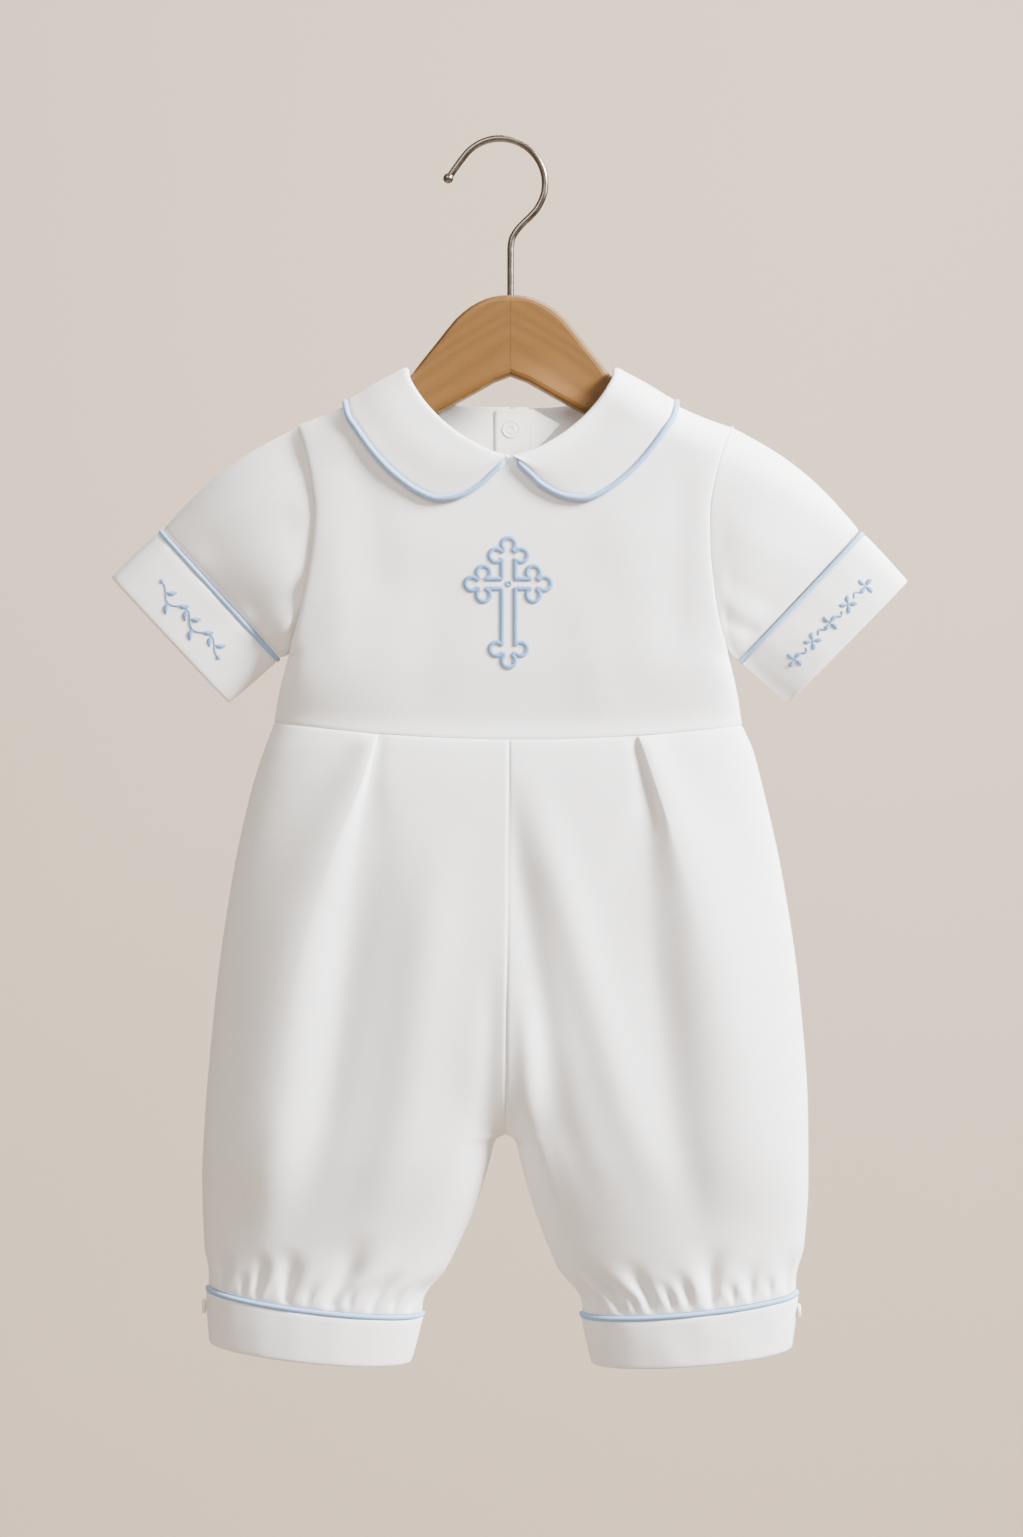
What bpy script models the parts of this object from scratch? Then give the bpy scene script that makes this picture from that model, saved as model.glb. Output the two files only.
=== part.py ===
"""Baby's baptism romper hung on a wooden hanger.

Metres, +Z up. The origin is the top of the hook's inside, where a rail or nail carries it.
The romper's front faces -Y. Left and right are the wearer's: left is +X.
"""

import math
from collections import namedtuple

import bmesh
import bpy
import numpy as np

MM = 0.001

# Driving sizes, in millimetres
CLOTH = 1.2
FOLDED_BAND = 1.8
COLLAR_CLOTH = 1.6
SEAM_GAP = 0.3
ARMHOLE_GAP = 0.4
COLLAR_GAP = 0.5
PIPING_RADIUS = 1.4
COLLAR_PIPING_RADIUS = 1.2
WIRE_RADIUS = 1.75
HOOK_RADIUS = 22.5
STEM_X = 5.25
STEM_DEPTH = 14.0
WOOD_THICKNESS = 12.0
WOOD_EDGE = 3.0
ARM_REACH = 88.0
ARM_CLEARANCE = (1.5, 3.6)
WOOD_TOP_Z = -77.0
NECK_X = 5.5
NECK_HALF_WIDTH = 51.0
NECK_SIDE_Z = -115.0
NECK_FRONT_DROP = 43.5
NECK_BACK_DROP = 16.0
NECK_FRONT_POWER = 1.5
NECK_BACK_POWER = 2.6
COLLAR_EDGE_INSET = 1.0
SHOULDER_ROUND = 20.0
ARMHOLE_TOP_Z = -142.5
UNDERARM_Z = -256.0
ARMHOLE_DEPTH = 16.0
WAIST_Z = -290.0
WAIST_TILT = -1.5
WAIST_DIP = 8.0
CROTCH_Z = -496.25
CROTCH_ROUND = 60.0
CROTCH_EASE = (-24.0, -16.0, -8.0, 0.0, 8.0, 16.0, 24.0)
NEAR_INNER = 0.82
EDGE_SETTLE = 0.75
DEPTH_SETTLE = 0.3
CENTRE_TOP_X = 4.6
CENTRE_LOW_X = 2.75
GATHER_LEAN = 0.012
BACK_EDGE_X = 14.5
PLACKET_X = (-2.5, 15.5)
PLACKET_LOW_Z = -282.0
NECK_BUTTON_Z = -142.5
BUTTON_RADIUS = 4.5
BUTTON_THICKNESS = 1.6
LEG_BUTTON_RADIUS = 3.8
LEG_BUTTON_DROP = 11.0
NORMAL_STEP = 1e-3

FRONT = -1
BACK = 1
RIGHT = -1
LEFT = 1
SIDES = {"right": RIGHT, "left": LEFT}

# The outline from the shoulders to the leg cuffs: its two edges, its depth to the front and to the back
# of the side seams, and the roundness of the section, 2 for an ellipse and more for a squarer one
Section = namedtuple("Section", "z right left front back power")
OUTLINE = [
    Section(-115.0, -103.0, 117.0, 20.0, 15.0, 3.2),
    Section(-142.5, -100.5, 115.5, 20.0, 15.0, 3.2),
    Section(-154.0, -97.0, 111.0, 20.5, 15.0, 3.2),
    Section(-170.0, -93.4, 106.6, 21.0, 15.5, 3.2),
    Section(-187.0, -91.5, 104.0, 21.5, 16.0, 3.1),
    Section(-204.0, -93.0, 104.2, 22.0, 16.0, 3.0),
    Section(-221.5, -96.0, 105.8, 22.0, 16.5, 3.0),
    Section(-239.0, -100.0, 108.5, 22.0, 17.0, 3.0),
    Section(-256.0, -105.0, 113.5, 22.0, 17.0, 3.0),
    Section(-279.0, -111.0, 119.0, 21.0, 16.5, 3.0),
    Section(-290.0, -113.0, 120.8, 20.5, 16.0, 2.9),
    Section(-304.0, -118.0, 126.5, 23.5, 18.0, 2.8),
    Section(-321.0, -123.5, 131.0, 26.0, 19.5, 2.7),
    Section(-366.0, -133.5, 141.0, 29.0, 21.0, 2.6),
    Section(-423.5, -141.8, 149.5, 30.0, 22.0, 2.5),
    Section(-486.5, -147.5, 154.0, 29.0, 22.0, 2.4),
    Section(-518.0, -149.0, 154.2, 27.0, 21.5, 2.3),
    Section(-550.5, -148.0, 152.2, 24.0, 20.5, 2.2),
    Section(-561.0, -146.4, 150.0, 22.8, 19.8, 2.2),
    Section(-572.0, -143.8, 147.0, 21.4, 18.8, 2.2),
    Section(-586.0, -141.0, 144.0, 20.0, 17.5, 2.2),
]

# Each leg's inner edge, from the crotch down
InnerEdge = namedtuple("InnerEdge", "z right left")
INNER_EDGES = [
    InnerEdge(-496.25, 2.75, 2.75),
    InnerEdge(-497.5, -1.3, 6.8),
    InnerEdge(-509.0, -4.75, 9.8),
    InnerEdge(-528.5, -10.5, 15.3),
    InnerEdge(-549.5, -19.8, 22.8),
    InnerEdge(-569.5, -30.0, 32.0),
    InnerEdge(-581.0, -36.8, 39.8),
    InnerEdge(-586.0, -39.0, 42.0),
]

# The shoulder line, by distance from the middle of the neck
ShoulderPoint = namedtuple("ShoulderPoint", "out z")
SHOULDER_LINE = [
    ShoulderPoint(0.0, -92.0),
    ShoulderPoint(30.0, -103.0),
    ShoulderPoint(51.0, -114.0),
    ShoulderPoint(65.0, -122.6),
    ShoulderPoint(80.0, -130.6),
    ShoulderPoint(95.0, -137.4),
    ShoulderPoint(112.0, -143.6),
]

# The collar's outer edge from centre front to the shoulder, and from the shoulder to centre back
EdgePoint = namedtuple("EdgePoint", "out z")
COLLAR_FRONT_EDGE = [
    EdgePoint(3.2, -160.4),
    EdgePoint(9.5, -166.0),
    EdgePoint(16.5, -172.5),
    EdgePoint(25.0, -177.0),
    EdgePoint(35.0, -178.7),
    EdgePoint(45.0, -175.4),
    EdgePoint(55.0, -168.4),
    EdgePoint(65.0, -158.6),
    EdgePoint(74.0, -146.6),
    EdgePoint(79.5, -137.5),
    EdgePoint(81.0, -131.0),
]
COLLAR_BACK_EDGE = [
    EdgePoint(81.0, -131.0),
    EdgePoint(79.5, -138.0),
    EdgePoint(72.0, -150.5),
    EdgePoint(61.0, -160.5),
    EdgePoint(47.0, -167.0),
    EdgePoint(33.0, -169.5),
    EdgePoint(20.0, -169.0),
    EdgePoint(10.0, -165.5),
    EdgePoint(5.0, -158.0),
    EdgePoint(3.4, -148.0),
    EdgePoint(3.0, -136.0),
]

# Leg cuffs: where the top and the bottom edge start at the outer side and end at the inner side
LegCuff = namedtuple("LegCuff", "outer_x outer_z inner_x inner_z low_outer_x low_outer_z low_inner_x low_inner_z")
LEG_CUFFS = {
    RIGHT: LegCuff(-147.0, -571.0, -37.3, -584.2, -145.6, -599.3, -44.3, -609.3),
    LEFT: LegCuff(149.3, -573.5, 39.5, -584.5, 146.2, -602.0, 45.6, -610.0),
}
LEG_CUFF_FRONT = 21.0
LEG_CUFF_BACK = 18.0
LEG_CUFF_BOW = 3.0
LEG_INSET = 1.2

# Sleeve cuffs: the same, with the outer side at the top of the sleeve
SLEEVE_CUFFS = {
    RIGHT: LegCuff(-169.0, -193.5, -109.5, -258.5, -194.5, -217.5, -135.5, -280.5),
    LEFT: LegCuff(180.5, -194.5, 119.0, -259.5, 204.0, -219.5, 144.0, -280.5),
}
SLEEVE_CUFF_DEPTH = 10.5
SLEEVE_CUFF_POWER = 2.4
SLEEVE_BULGE = 4.5
SLEEVE_PUFF = 4.0

# Gathers above a leg cuff: place across from the outer to the inner side, half width, depth, and how far up
Gather = namedtuple("Gather", "across half_width depth rise")
GATHERS = [
    Gather(0.07, 0.014, 1.8, 26.0),
    Gather(0.17, 0.020, 2.6, 38.0),
    Gather(0.28, 0.017, 2.2, 24.0),
    Gather(0.38, 0.022, 3.0, 30.0),
    Gather(0.49, 0.020, 2.4, 20.0),
    Gather(0.60, 0.026, 3.4, 44.0),
    Gather(0.72, 0.020, 2.4, 26.0),
    Gather(0.83, 0.024, 2.8, 30.0),
    Gather(0.93, 0.018, 2.0, 20.0),
]
# The waist pleat of each trouser front: where it starts and ends across, its half width and its height
PLEAT_START = 0.46
PLEAT_LEAN = 0.14
PLEAT_HALF_WIDTH = 0.035
PLEAT_DEPTH = 3.0
PLEAT_LENGTH = 70.0
# Long soft folds that run down the trousers: share across from the side seam, half width as a share, and
# height, which is negative in a trough
Fold = namedtuple("Fold", "share half_width height")
LONG_FOLDS = {
    RIGHT: [
        Fold(0.19, 0.070, -2.2),
        Fold(0.36, 0.060, 2.0),
        Fold(0.60, 0.080, -2.6),
        Fold(0.82, 0.070, 1.8),
    ],
    LEFT: [
        Fold(0.16, 0.070, 1.4),
        Fold(0.36, 0.060, -2.2),
        Fold(0.49, 0.060, 2.2),
        Fold(0.75, 0.080, -2.6),
        Fold(0.88, 0.060, 1.6),
    ],
}

Colour = namedtuple("Colour", "red green blue roughness metallic")
COLOURS = {
    "white_cloth": Colour(0.86, 0.85, 0.83, 0.62, 0.0),
    "blue_piping": Colour(0.50, 0.62, 0.78, 0.45, 0.0),
    "beech": Colour(0.60, 0.38, 0.19, 0.45, 0.0),
    "nickel_wire": Colour(0.62, 0.60, 0.57, 0.28, 1.0),
    "pearl_button": Colour(0.88, 0.87, 0.85, 0.30, 0.0),
}


def clear_scene():
    for old in list(bpy.data.objects):
        bpy.data.objects.remove(old, do_unlink=True)


def material(name):
    """The Principled material of one finish, made once."""
    if name in bpy.data.materials:
        return bpy.data.materials[name]
    colour = COLOURS[name]
    made = bpy.data.materials.new(name)
    made.use_nodes = True
    shader = made.node_tree.nodes["Principled BSDF"]
    shader.inputs["Base Color"].default_value = (colour.red, colour.green, colour.blue, 1.0)
    shader.inputs["Roughness"].default_value = colour.roughness
    shader.inputs["Metallic"].default_value = colour.metallic
    return made


def place(obj, finish, parent):
    """Puts a made object in the romper's collection, under its empty, with its finish."""
    bpy.data.collections["baptism_romper"].objects.link(obj)
    obj.data.materials.append(material(finish))
    obj.parent = parent


def read(places, values, at):
    """A smooth curve through (place, value) pairs that never overshoots them."""
    places = np.asarray(places, float)
    values = np.asarray(values, float)
    if places[0] > places[-1]:
        places = places[::-1]
        values = values[::-1]
    at = np.clip(at, places[0], places[-1])
    runs = np.diff(places)
    slopes = np.diff(values) / runs
    before = slopes[:-1]
    after = slopes[1:]
    same_way = before * after > 0
    middle = np.where(same_way, 2 * before * after / np.where(same_way, before + after, 1.0), 0.0)
    tangents = np.concatenate([slopes[:1], middle, slopes[-1:]])
    index = np.clip(np.searchsorted(places, at, side="right") - 1, 0, len(runs) - 1)
    run = runs[index]
    t = (at - places[index]) / run
    start = values[index]
    end = values[index + 1]
    curve = (2 * t**3 - 3 * t**2 + 1) * start + (3 * t**2 - 2 * t**3) * end
    return curve + run * ((t**3 - 2 * t**2 + t) * tangents[index] + (t**3 - t**2) * tangents[index + 1])


def column(table, name, z):
    """One column of a table of heights, read at a height."""
    return read([row.z for row in table], [getattr(row, name) for row in table], z)


def edge_x(side, z):
    return column(OUTLINE, "right" if side == RIGHT else "left", z)


def half_depth(face, z):
    return column(OUTLINE, "front" if face == FRONT else "back", z)


def shoulder_z(x):
    return read([p.out for p in SHOULDER_LINE], [p.z for p in SHOULDER_LINE], np.abs(x - NECK_X))


def arch(ratio, power):
    """Height of a rounded profile at a place from 0 in its middle to 1 at its side."""
    return np.clip(1 - np.clip(np.abs(ratio), 0, 1) ** power, 0, 1) ** (1 / power)


def armhole_depth(z):
    """Half depth of the armhole: an ellipse from the shoulder tip to the underarm."""
    share = np.clip((ARMHOLE_TOP_Z - z) / (ARMHOLE_TOP_Z - UNDERARM_Z), 0, 1)
    return ARMHOLE_DEPTH * np.sqrt(np.clip(1 - (1 - 2 * share) ** 2, 0, 1))


def over_shoulder(x, z):
    """Share of the full depth this far below the shoulder line, where the cloth rounds over it."""
    below = np.clip((shoulder_z(x) - z) / SHOULDER_ROUND, 0, 1)
    return np.sqrt(np.clip(1 - (1 - below) ** 2, 0, 1))


def bodice_y(face, x, z):
    """Depth of the bodice's outer surface."""
    middle = (edge_x(LEFT, z) + edge_x(RIGHT, z)) / 2
    half = (edge_x(LEFT, z) - edge_x(RIGHT, z)) / 2
    across = np.clip((x - middle) / half, -1, 1)
    edge = armhole_depth(z)
    depth = edge + (half_depth(face, z) - edge) * arch(across, column(OUTLINE, "power", z))
    return face * np.maximum(depth * over_shoulder(x, z), SEAM_GAP / 2)


def neckline_z(face, x):
    drop, power = (NECK_FRONT_DROP, NECK_FRONT_POWER) if face == FRONT else (NECK_BACK_DROP, NECK_BACK_POWER)
    return NECK_SIDE_Z - drop * arch((x - NECK_X) / NECK_HALF_WIDTH, power)


def waist_z(across, face):
    """The waist seam, which dips towards its middle."""
    dip = WAIST_DIP if face == FRONT else WAIST_DIP / 2
    return WAIST_Z + WAIST_TILT * (across + 1) / 2 - dip * (1 - across**2)


def bodice_top_z(face, x):
    inside = np.abs(x - NECK_X) < NECK_HALF_WIDTH
    return np.where(inside, np.minimum(neckline_z(face, x) - COLLAR_EDGE_INSET, shoulder_z(x)), shoulder_z(x))


def bodice(face):
    """The bodice's surface: across from -1 to 1 between its edges, up from 0 at the waist to 1."""

    def surface(across, up):
        low = waist_z(across, face) + SEAM_GAP / 2
        top = np.full_like(across, NECK_SIDE_Z)
        for _ in range(12):
            middle = (edge_x(LEFT, top) + edge_x(RIGHT, top)) / 2
            half = (edge_x(LEFT, top) - edge_x(RIGHT, top)) / 2
            top = 0.5 * top + 0.5 * bodice_top_z(face, middle + half * across)
        z = low + (top - low) * np.sin(up * math.pi / 2)
        middle = (edge_x(LEFT, z) + edge_x(RIGHT, z)) / 2
        half = (edge_x(LEFT, z) - edge_x(RIGHT, z)) / 2 - ARMHOLE_GAP / 2
        x = middle + half * across
        return np.stack([x, bodice_y(face, x, z), z], axis=-1)

    return surface


def grid(surface, across, up):
    """Points and outward normals of a surface at each pair of values; rows follow the second."""
    a, b = np.meshgrid(np.asarray(across, float), np.asarray(up, float))
    points = surface(a, b)
    a0 = np.maximum(a - NORMAL_STEP, a.min())
    a1 = np.minimum(a + NORMAL_STEP, a.max())
    b0 = np.maximum(b - NORMAL_STEP, b.min())
    b1 = np.minimum(b + NORMAL_STEP, b.max())
    normals = np.cross(surface(a1, b) - surface(a0, b), surface(a, b1) - surface(a, b0))
    return points, unit(normals)


def unit(vectors):
    return vectors / np.maximum(np.linalg.norm(vectors, axis=-1, keepdims=True), 1e-12)


def outwards(normals, outward):
    """Turns all normals round if most of them point against a direction or a field of directions."""
    return normals if (normals * outward).sum() > 0 else -normals


def without(normals, mask, axis):
    """Takes an axis out of the masked normals, so that a wall ends square at its seam."""
    axis = unit(np.broadcast_to(np.asarray(axis, float), normals.shape))
    flat = unit(normals - (normals * axis).sum(axis=-1, keepdims=True) * axis)
    return np.where(mask[..., None], flat, normals)


def wall(name, outer, inner, finish, parent, closed=False):
    """One closed wall of cloth between two matching grids of points, in millimetres."""
    rows, columns, _ = outer.shape
    count = rows * columns
    mesh = bmesh.new()
    corners = [mesh.verts.new(p) for p in np.concatenate([outer, inner]).reshape(-1, 3) * MM]

    def at(layer, row, place_across):
        return corners[layer * count + row * columns + place_across % columns]

    spans = columns if closed else columns - 1
    for row in range(rows - 1):
        for i in range(spans):
            for layer in (0, 1):
                quad = [at(layer, row, i), at(layer, row, i + 1), at(layer, row + 1, i + 1), at(layer, row + 1, i)]
                mesh.faces.new(quad if layer == 0 else quad[::-1])
    for i in range(spans):
        for row in (0, rows - 1):
            mesh.faces.new([at(0, row, i), at(0, row, i + 1), at(1, row, i + 1), at(1, row, i)])
    if not closed:
        for row in range(rows - 1):
            for i in (0, columns - 1):
                mesh.faces.new([at(0, row, i), at(0, row + 1, i), at(1, row + 1, i), at(1, row, i)])
    bmesh.ops.triangulate(mesh, faces=mesh.faces[:])
    bmesh.ops.recalc_face_normals(mesh, faces=mesh.faces[:])
    data = bpy.data.meshes.new(name)
    mesh.to_mesh(data)
    mesh.free()
    data.shade_smooth()
    data.set_sharp_from_angle(angle=math.radians(50))
    place(bpy.data.objects.new(name, data), finish, parent)


def tube(name, route, radius, finish, parent, cyclic=False):
    """A round cord of cloth or wire along a route, in millimetres."""
    curve = bpy.data.curves.new(name, "CURVE")
    curve.dimensions = "3D"
    curve.bevel_depth = radius * MM
    curve.bevel_resolution = 1
    curve.use_fill_caps = not cyclic
    curve.twist_mode = "MINIMUM"
    spline = curve.splines.new("POLY")
    spline.points.add(len(route) - 1)
    for point, position in zip(spline.points, route):
        point.co = (*(np.asarray(position) * MM), 1.0)
    spline.use_cyclic_u = cyclic
    place(bpy.data.objects.new(name, curve), finish, parent)


def wave_spread(start, end, count, power=1.0):
    """Values that lie closer together at both ends."""
    steps = np.arange(count + 1) / count
    eased = (1 - np.cos(math.pi * steps)) / 2
    return start + (end - start) * (power * eased + (1 - power) * steps)


def make_bodice(parent):
    middle = (edge_x(LEFT, NECK_SIDE_Z) + edge_x(RIGHT, NECK_SIDE_Z)) / 2
    half = (edge_x(LEFT, NECK_SIDE_Z) - edge_x(RIGHT, NECK_SIDE_Z)) / 2
    corner_right = (NECK_X - NECK_HALF_WIDTH - middle) / half
    corner_left = (NECK_X + NECK_HALF_WIDTH - middle) / half
    crowd = 1 - np.cos(np.linspace(0, math.pi / 2, 7))
    columns = np.concatenate([
        -1 + (1 + corner_right) * crowd,
        wave_spread(corner_right, corner_left, 12)[1:-1],
        (1 - (1 - corner_left) * crowd)[::-1],
    ])
    rows = [0, 0.12, 0.2, 0.28, 0.36, 0.44, 0.53, 0.62, 0.72, 0.81, 0.9, 1]
    bodice_panel("bodice_front", FRONT, columns, rows, parent)
    edge = (BACK_EDGE_X - middle) / half
    lap = SEAM_GAP / half
    bodice_panel("bodice_back_right", BACK, panel_columns(-1, edge, columns), rows, parent)
    bodice_panel("bodice_back_left", BACK, panel_columns(edge + lap, 1, columns), rows, parent)


def panel_columns(start, end, columns):
    """The columns of a half panel: those of the whole one between its edges, and the edges."""
    clear = 0.02
    inside = columns[(columns > start + clear) & (columns < end - clear)]
    return np.concatenate([[start], inside, [end]])


def bodice_panel(name, face, columns, rows, parent):
    outer, normals = grid(bodice(face), columns, rows)
    normals = outwards(normals, np.array([0, face, 0]))
    edge = np.zeros(outer.shape[:2], bool)
    edge[:, 0] = columns[0] == -1
    edge[:, -1] = columns[-1] == 1
    cut = np.zeros(outer.shape[:2], bool)
    cut[:, 0] = columns[0] != -1
    cut[:, -1] = columns[-1] != 1
    armhole = edge & (outer[..., 2] > UNDERARM_Z)
    side_seam = edge & (outer[..., 2] <= UNDERARM_Z)
    normals = without(normals, armhole | cut, (1, 0, 0))
    normals = without(normals, side_seam, (0, 1, 0))
    shoulder = np.zeros_like(edge)
    shoulder[-1] = np.abs(outer[-1, :, 0] - NECK_X) >= NECK_HALF_WIDTH - 1.5
    normals = without(normals, shoulder, (0, 1, 0))
    waist = np.zeros_like(edge)
    waist[0] = True
    normals = without(normals, waist, (0, 0, 1))
    inner = outer - CLOTH * normals
    for place_across, side in ((0, RIGHT), (-1, LEFT)):
        rows_at = armhole[:, place_across]
        seam = edge_x(side, inner[:, place_across, 2]) - side * ARMHOLE_GAP / 2
        inner[:, place_across, 0] = np.where(rows_at, seam, inner[:, place_across, 0])
    wall(name, outer, inner, "white_cloth", parent)


def make_placket(parent):
    depth_out = CLOTH + 0.5
    z = np.linspace(NECK_SIDE_Z - NECK_BACK_DROP - 2.0, PLACKET_LOW_Z, 7)
    x, z = np.meshgrid(np.linspace(*PLACKET_X, 4), z)
    y = bodice_y(BACK, x, z)
    outer = np.stack([x, y - depth_out, z], axis=-1)
    inner = outer - np.array([0, FOLDED_BAND, 0])
    wall("back_placket", outer, inner, "white_cloth", parent)
    return inner[0, 0, 1]


def make_button(name, centre, axis_rotation, radius, finish, parent):
    """A flat round button with a raised rim, its axis turned from +Z."""
    bpy.ops.mesh.primitive_cylinder_add(vertices=20, radius=radius * MM, depth=BUTTON_THICKNESS * MM)
    button = bpy.context.object
    button.name = name
    for collection in list(button.users_collection):
        collection.objects.unlink(button)
    place(button, finish, parent)
    shape = bmesh.new()
    shape.from_mesh(button.data)
    top = max(shape.faces, key=lambda face: face.calc_center_median().z)
    bmesh.ops.inset_region(shape, faces=[top], thickness=0.28 * radius * MM)
    bmesh.ops.translate(shape, verts=top.verts[:], vec=(0, 0, -0.25 * BUTTON_THICKNESS * MM))
    shape.to_mesh(button.data)
    shape.free()
    button.location = np.asarray(centre) * MM
    button.rotation_euler = axis_rotation


def ring_point(cuff, angle, low, face_front, face_back, power, bow, inset=0.0):
    """A point of a flattened ring: angle 0 at the outer side, pi at the inner side, the front in between.
    low runs from 0 on the top edge to 1 on the bottom edge."""
    outer = np.array([cuff.outer_x, 0, cuff.outer_z])
    inner = np.array([cuff.inner_x, 0, cuff.inner_z])
    low_outer = np.array([cuff.low_outer_x, 0, cuff.low_outer_z])
    low_inner = np.array([cuff.low_inner_x, 0, cuff.low_inner_z])
    low = np.asarray(low, float)[..., None]
    start = outer + (low_outer - outer) * low
    end = inner + (low_inner - inner) * low
    cos = np.cos(angle)
    sin = np.sin(angle)
    across = np.sign(cos) * np.abs(cos) ** (2 / power)
    depth = np.sign(sin) * np.abs(sin) ** (2 / power)
    half = (end - start) / 2
    length = np.linalg.norm(half, axis=-1, keepdims=True)
    half = half * (1 - inset / length)
    middle = (start + end) / 2
    point = middle - half * across[..., None]
    point[..., 1] -= depth * (np.where(depth > 0, face_front, face_back) - inset)
    down = unit((low_outer + low_inner - outer - inner) / 2)
    return point + down * bow * np.abs(sin)[..., None]


def cuff_ring(cuff, front, back, power, bow):
    def surface(angle, low):
        return ring_point(cuff, angle, low, front, back, power, bow)

    return surface


def make_cuff(name, cuff, front, back, power, bow, count, parent):
    """A folded band of cloth below its piping."""
    height = np.hypot(cuff.low_outer_x - cuff.outer_x, cuff.low_outer_z - cuff.outer_z)
    start = (2 * PIPING_RADIUS + SEAM_GAP) / height
    low = [start, 0.55, 1.0]
    angles = np.arange(count) * 2 * math.pi / count
    a, b = np.meshgrid(angles, low)
    surface = cuff_ring(cuff, front, back, power, bow)
    outer = surface(a, b)
    step = NORMAL_STEP
    normals = unit(np.cross(surface(a + step, b) - surface(a - step, b), surface(a, b + step) - surface(a, b - step)))
    centre = outer.mean(axis=1, keepdims=True)
    normals = outwards(normals, outer - centre)
    down = np.array([cuff.low_outer_x + cuff.low_inner_x - cuff.outer_x - cuff.inner_x, 0,
                     cuff.low_outer_z + cuff.low_inner_z - cuff.outer_z - cuff.inner_z])
    normals = without(normals, np.ones(outer.shape[:2], bool), down)
    wall(name, outer, outer - FOLDED_BAND * normals, "white_cloth", parent, closed=True)


def make_cuff_piping(name, cuff, front, back, power, bow, count, parent):
    height = np.hypot(cuff.low_outer_x - cuff.outer_x, cuff.low_outer_z - cuff.outer_z)
    angles = np.arange(count) * 2 * math.pi / count
    low = np.full(count, PIPING_RADIUS / height)
    route = ring_point(cuff, angles, low, front, back, power, bow, inset=FOLDED_BAND / 2)
    tube(name, route, PIPING_RADIUS, "blue_piping", parent, cyclic=True)


def inner_x(side, z):
    """The centre seam down to the crotch, then the leg's inner edge."""
    share = (z - WAIST_Z) / (CROTCH_Z - WAIST_Z)
    seam = CENTRE_TOP_X + (CENTRE_LOW_X - CENTRE_TOP_X) * share
    return np.where(z >= CROTCH_Z, seam, column(INNER_EDGES, "right" if side == RIGHT else "left", z))


def leg(side, face):
    """A trouser panel's surface: across from 0 at the side seam to 1 at the centre or inner edge,
    down from 0 at the waist to 1 at the crotch and 2 at the leg cuff."""
    cuff = LEG_CUFFS[side]
    cuff_depth = LEG_CUFF_FRONT if face == FRONT else LEG_CUFF_BACK

    def surface(across, down):
        eased = 0.35 * across + 0.65 * (1 - np.cos(math.pi * across)) / 2
        waist_side = side * (1 - eased)
        top = waist_z(waist_side, face) - SEAM_GAP / 2
        angle = np.arccos(np.clip(1 - 2 * eased, -1, 1))
        low_point = ring_point(cuff, angle, np.zeros_like(across), cuff_depth, cuff_depth, 2.0,
                               LEG_CUFF_BOW, inset=LEG_INSET)
        bottom = low_point[..., 2] + SEAM_GAP
        upper = np.clip(down, 0, 1)
        lower = np.clip(down - 1, 0, 1)
        z = top + (CROTCH_Z - top) * upper + (bottom - CROTCH_Z) * lower
        outer = edge_x(side, z)
        inner = inner_x(side, z) + side * SEAM_GAP / 2
        eased_inner = sum(inner_x(side, z + lift) for lift in CROTCH_EASE) / len(CROTCH_EASE)
        near_inner = np.clip((eased - NEAR_INNER) / (1 - NEAR_INNER), 0, 1) ** 2
        x = outer + (eased_inner - outer) * eased + (inner - eased_inner) * near_inner
        power = column(OUTLINE, "power", z)
        width = np.abs(eased_inner - outer)
        to_leg = np.clip((z - WAIST_Z) / (CROTCH_Z - CROTCH_ROUND - WAIST_Z), 0, 1)
        outer_round = width * (1 - 0.5 * to_leg**2 * (3 - 2 * to_leg))
        above_crotch = np.maximum(z - CROTCH_Z, 0)
        from_inner = np.hypot(width * (1 - eased), above_crotch)
        inner_round = np.where(z > CROTCH_Z, CROTCH_ROUND, np.minimum(width / 2, CROTCH_ROUND))
        profile = arch(np.maximum(1 - width * eased / outer_round, 0), power)
        profile = profile * arch(np.maximum(1 - from_inner / inner_round, 0), power)
        depth = half_depth(face, z) * profile
        edge_share = np.clip((lower - EDGE_SETTLE) / (1 - EDGE_SETTLE), 0, 1)
        x = x + (low_point[..., 0] - x) * edge_share**2 * (3 - 2 * edge_share)
        depth_share = np.clip((lower - DEPTH_SETTLE) / (1 - DEPTH_SETTLE), 0, 1)
        depth = depth + (np.abs(low_point[..., 1]) - depth) * depth_share**2 * (3 - 2 * depth_share)
        above_cuff = np.maximum(z - bottom, 0)
        below_waist = np.maximum(top - z, 0)
        depth = depth + folds(face, across, above_cuff, below_waist) * arch(1 - 2 * eased, 2.0)
        depth = depth + long_folds(side, face, eased, above_cuff, below_waist)
        return np.stack([x, face * np.maximum(depth, SEAM_GAP / 2), z], axis=-1)

    return surface


def long_folds(side, face, share, above_cuff, below_waist):
    """How far the cloth stands out or falls in at the soft folds down a trouser panel."""
    fade = np.clip(above_cuff / 60.0, 0, 1) * np.clip(below_waist / 60.0, 0, 1)
    moved = np.zeros_like(share)
    for fold in LONG_FOLDS[side]:
        middle = fold.share if face == FRONT else 1 - fold.share
        moved = moved + fold.height * fade * np.exp(-(((share - middle) / fold.half_width) ** 2))
    return moved * np.clip(share * (1 - share) / 0.06, 0, 1)


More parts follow.
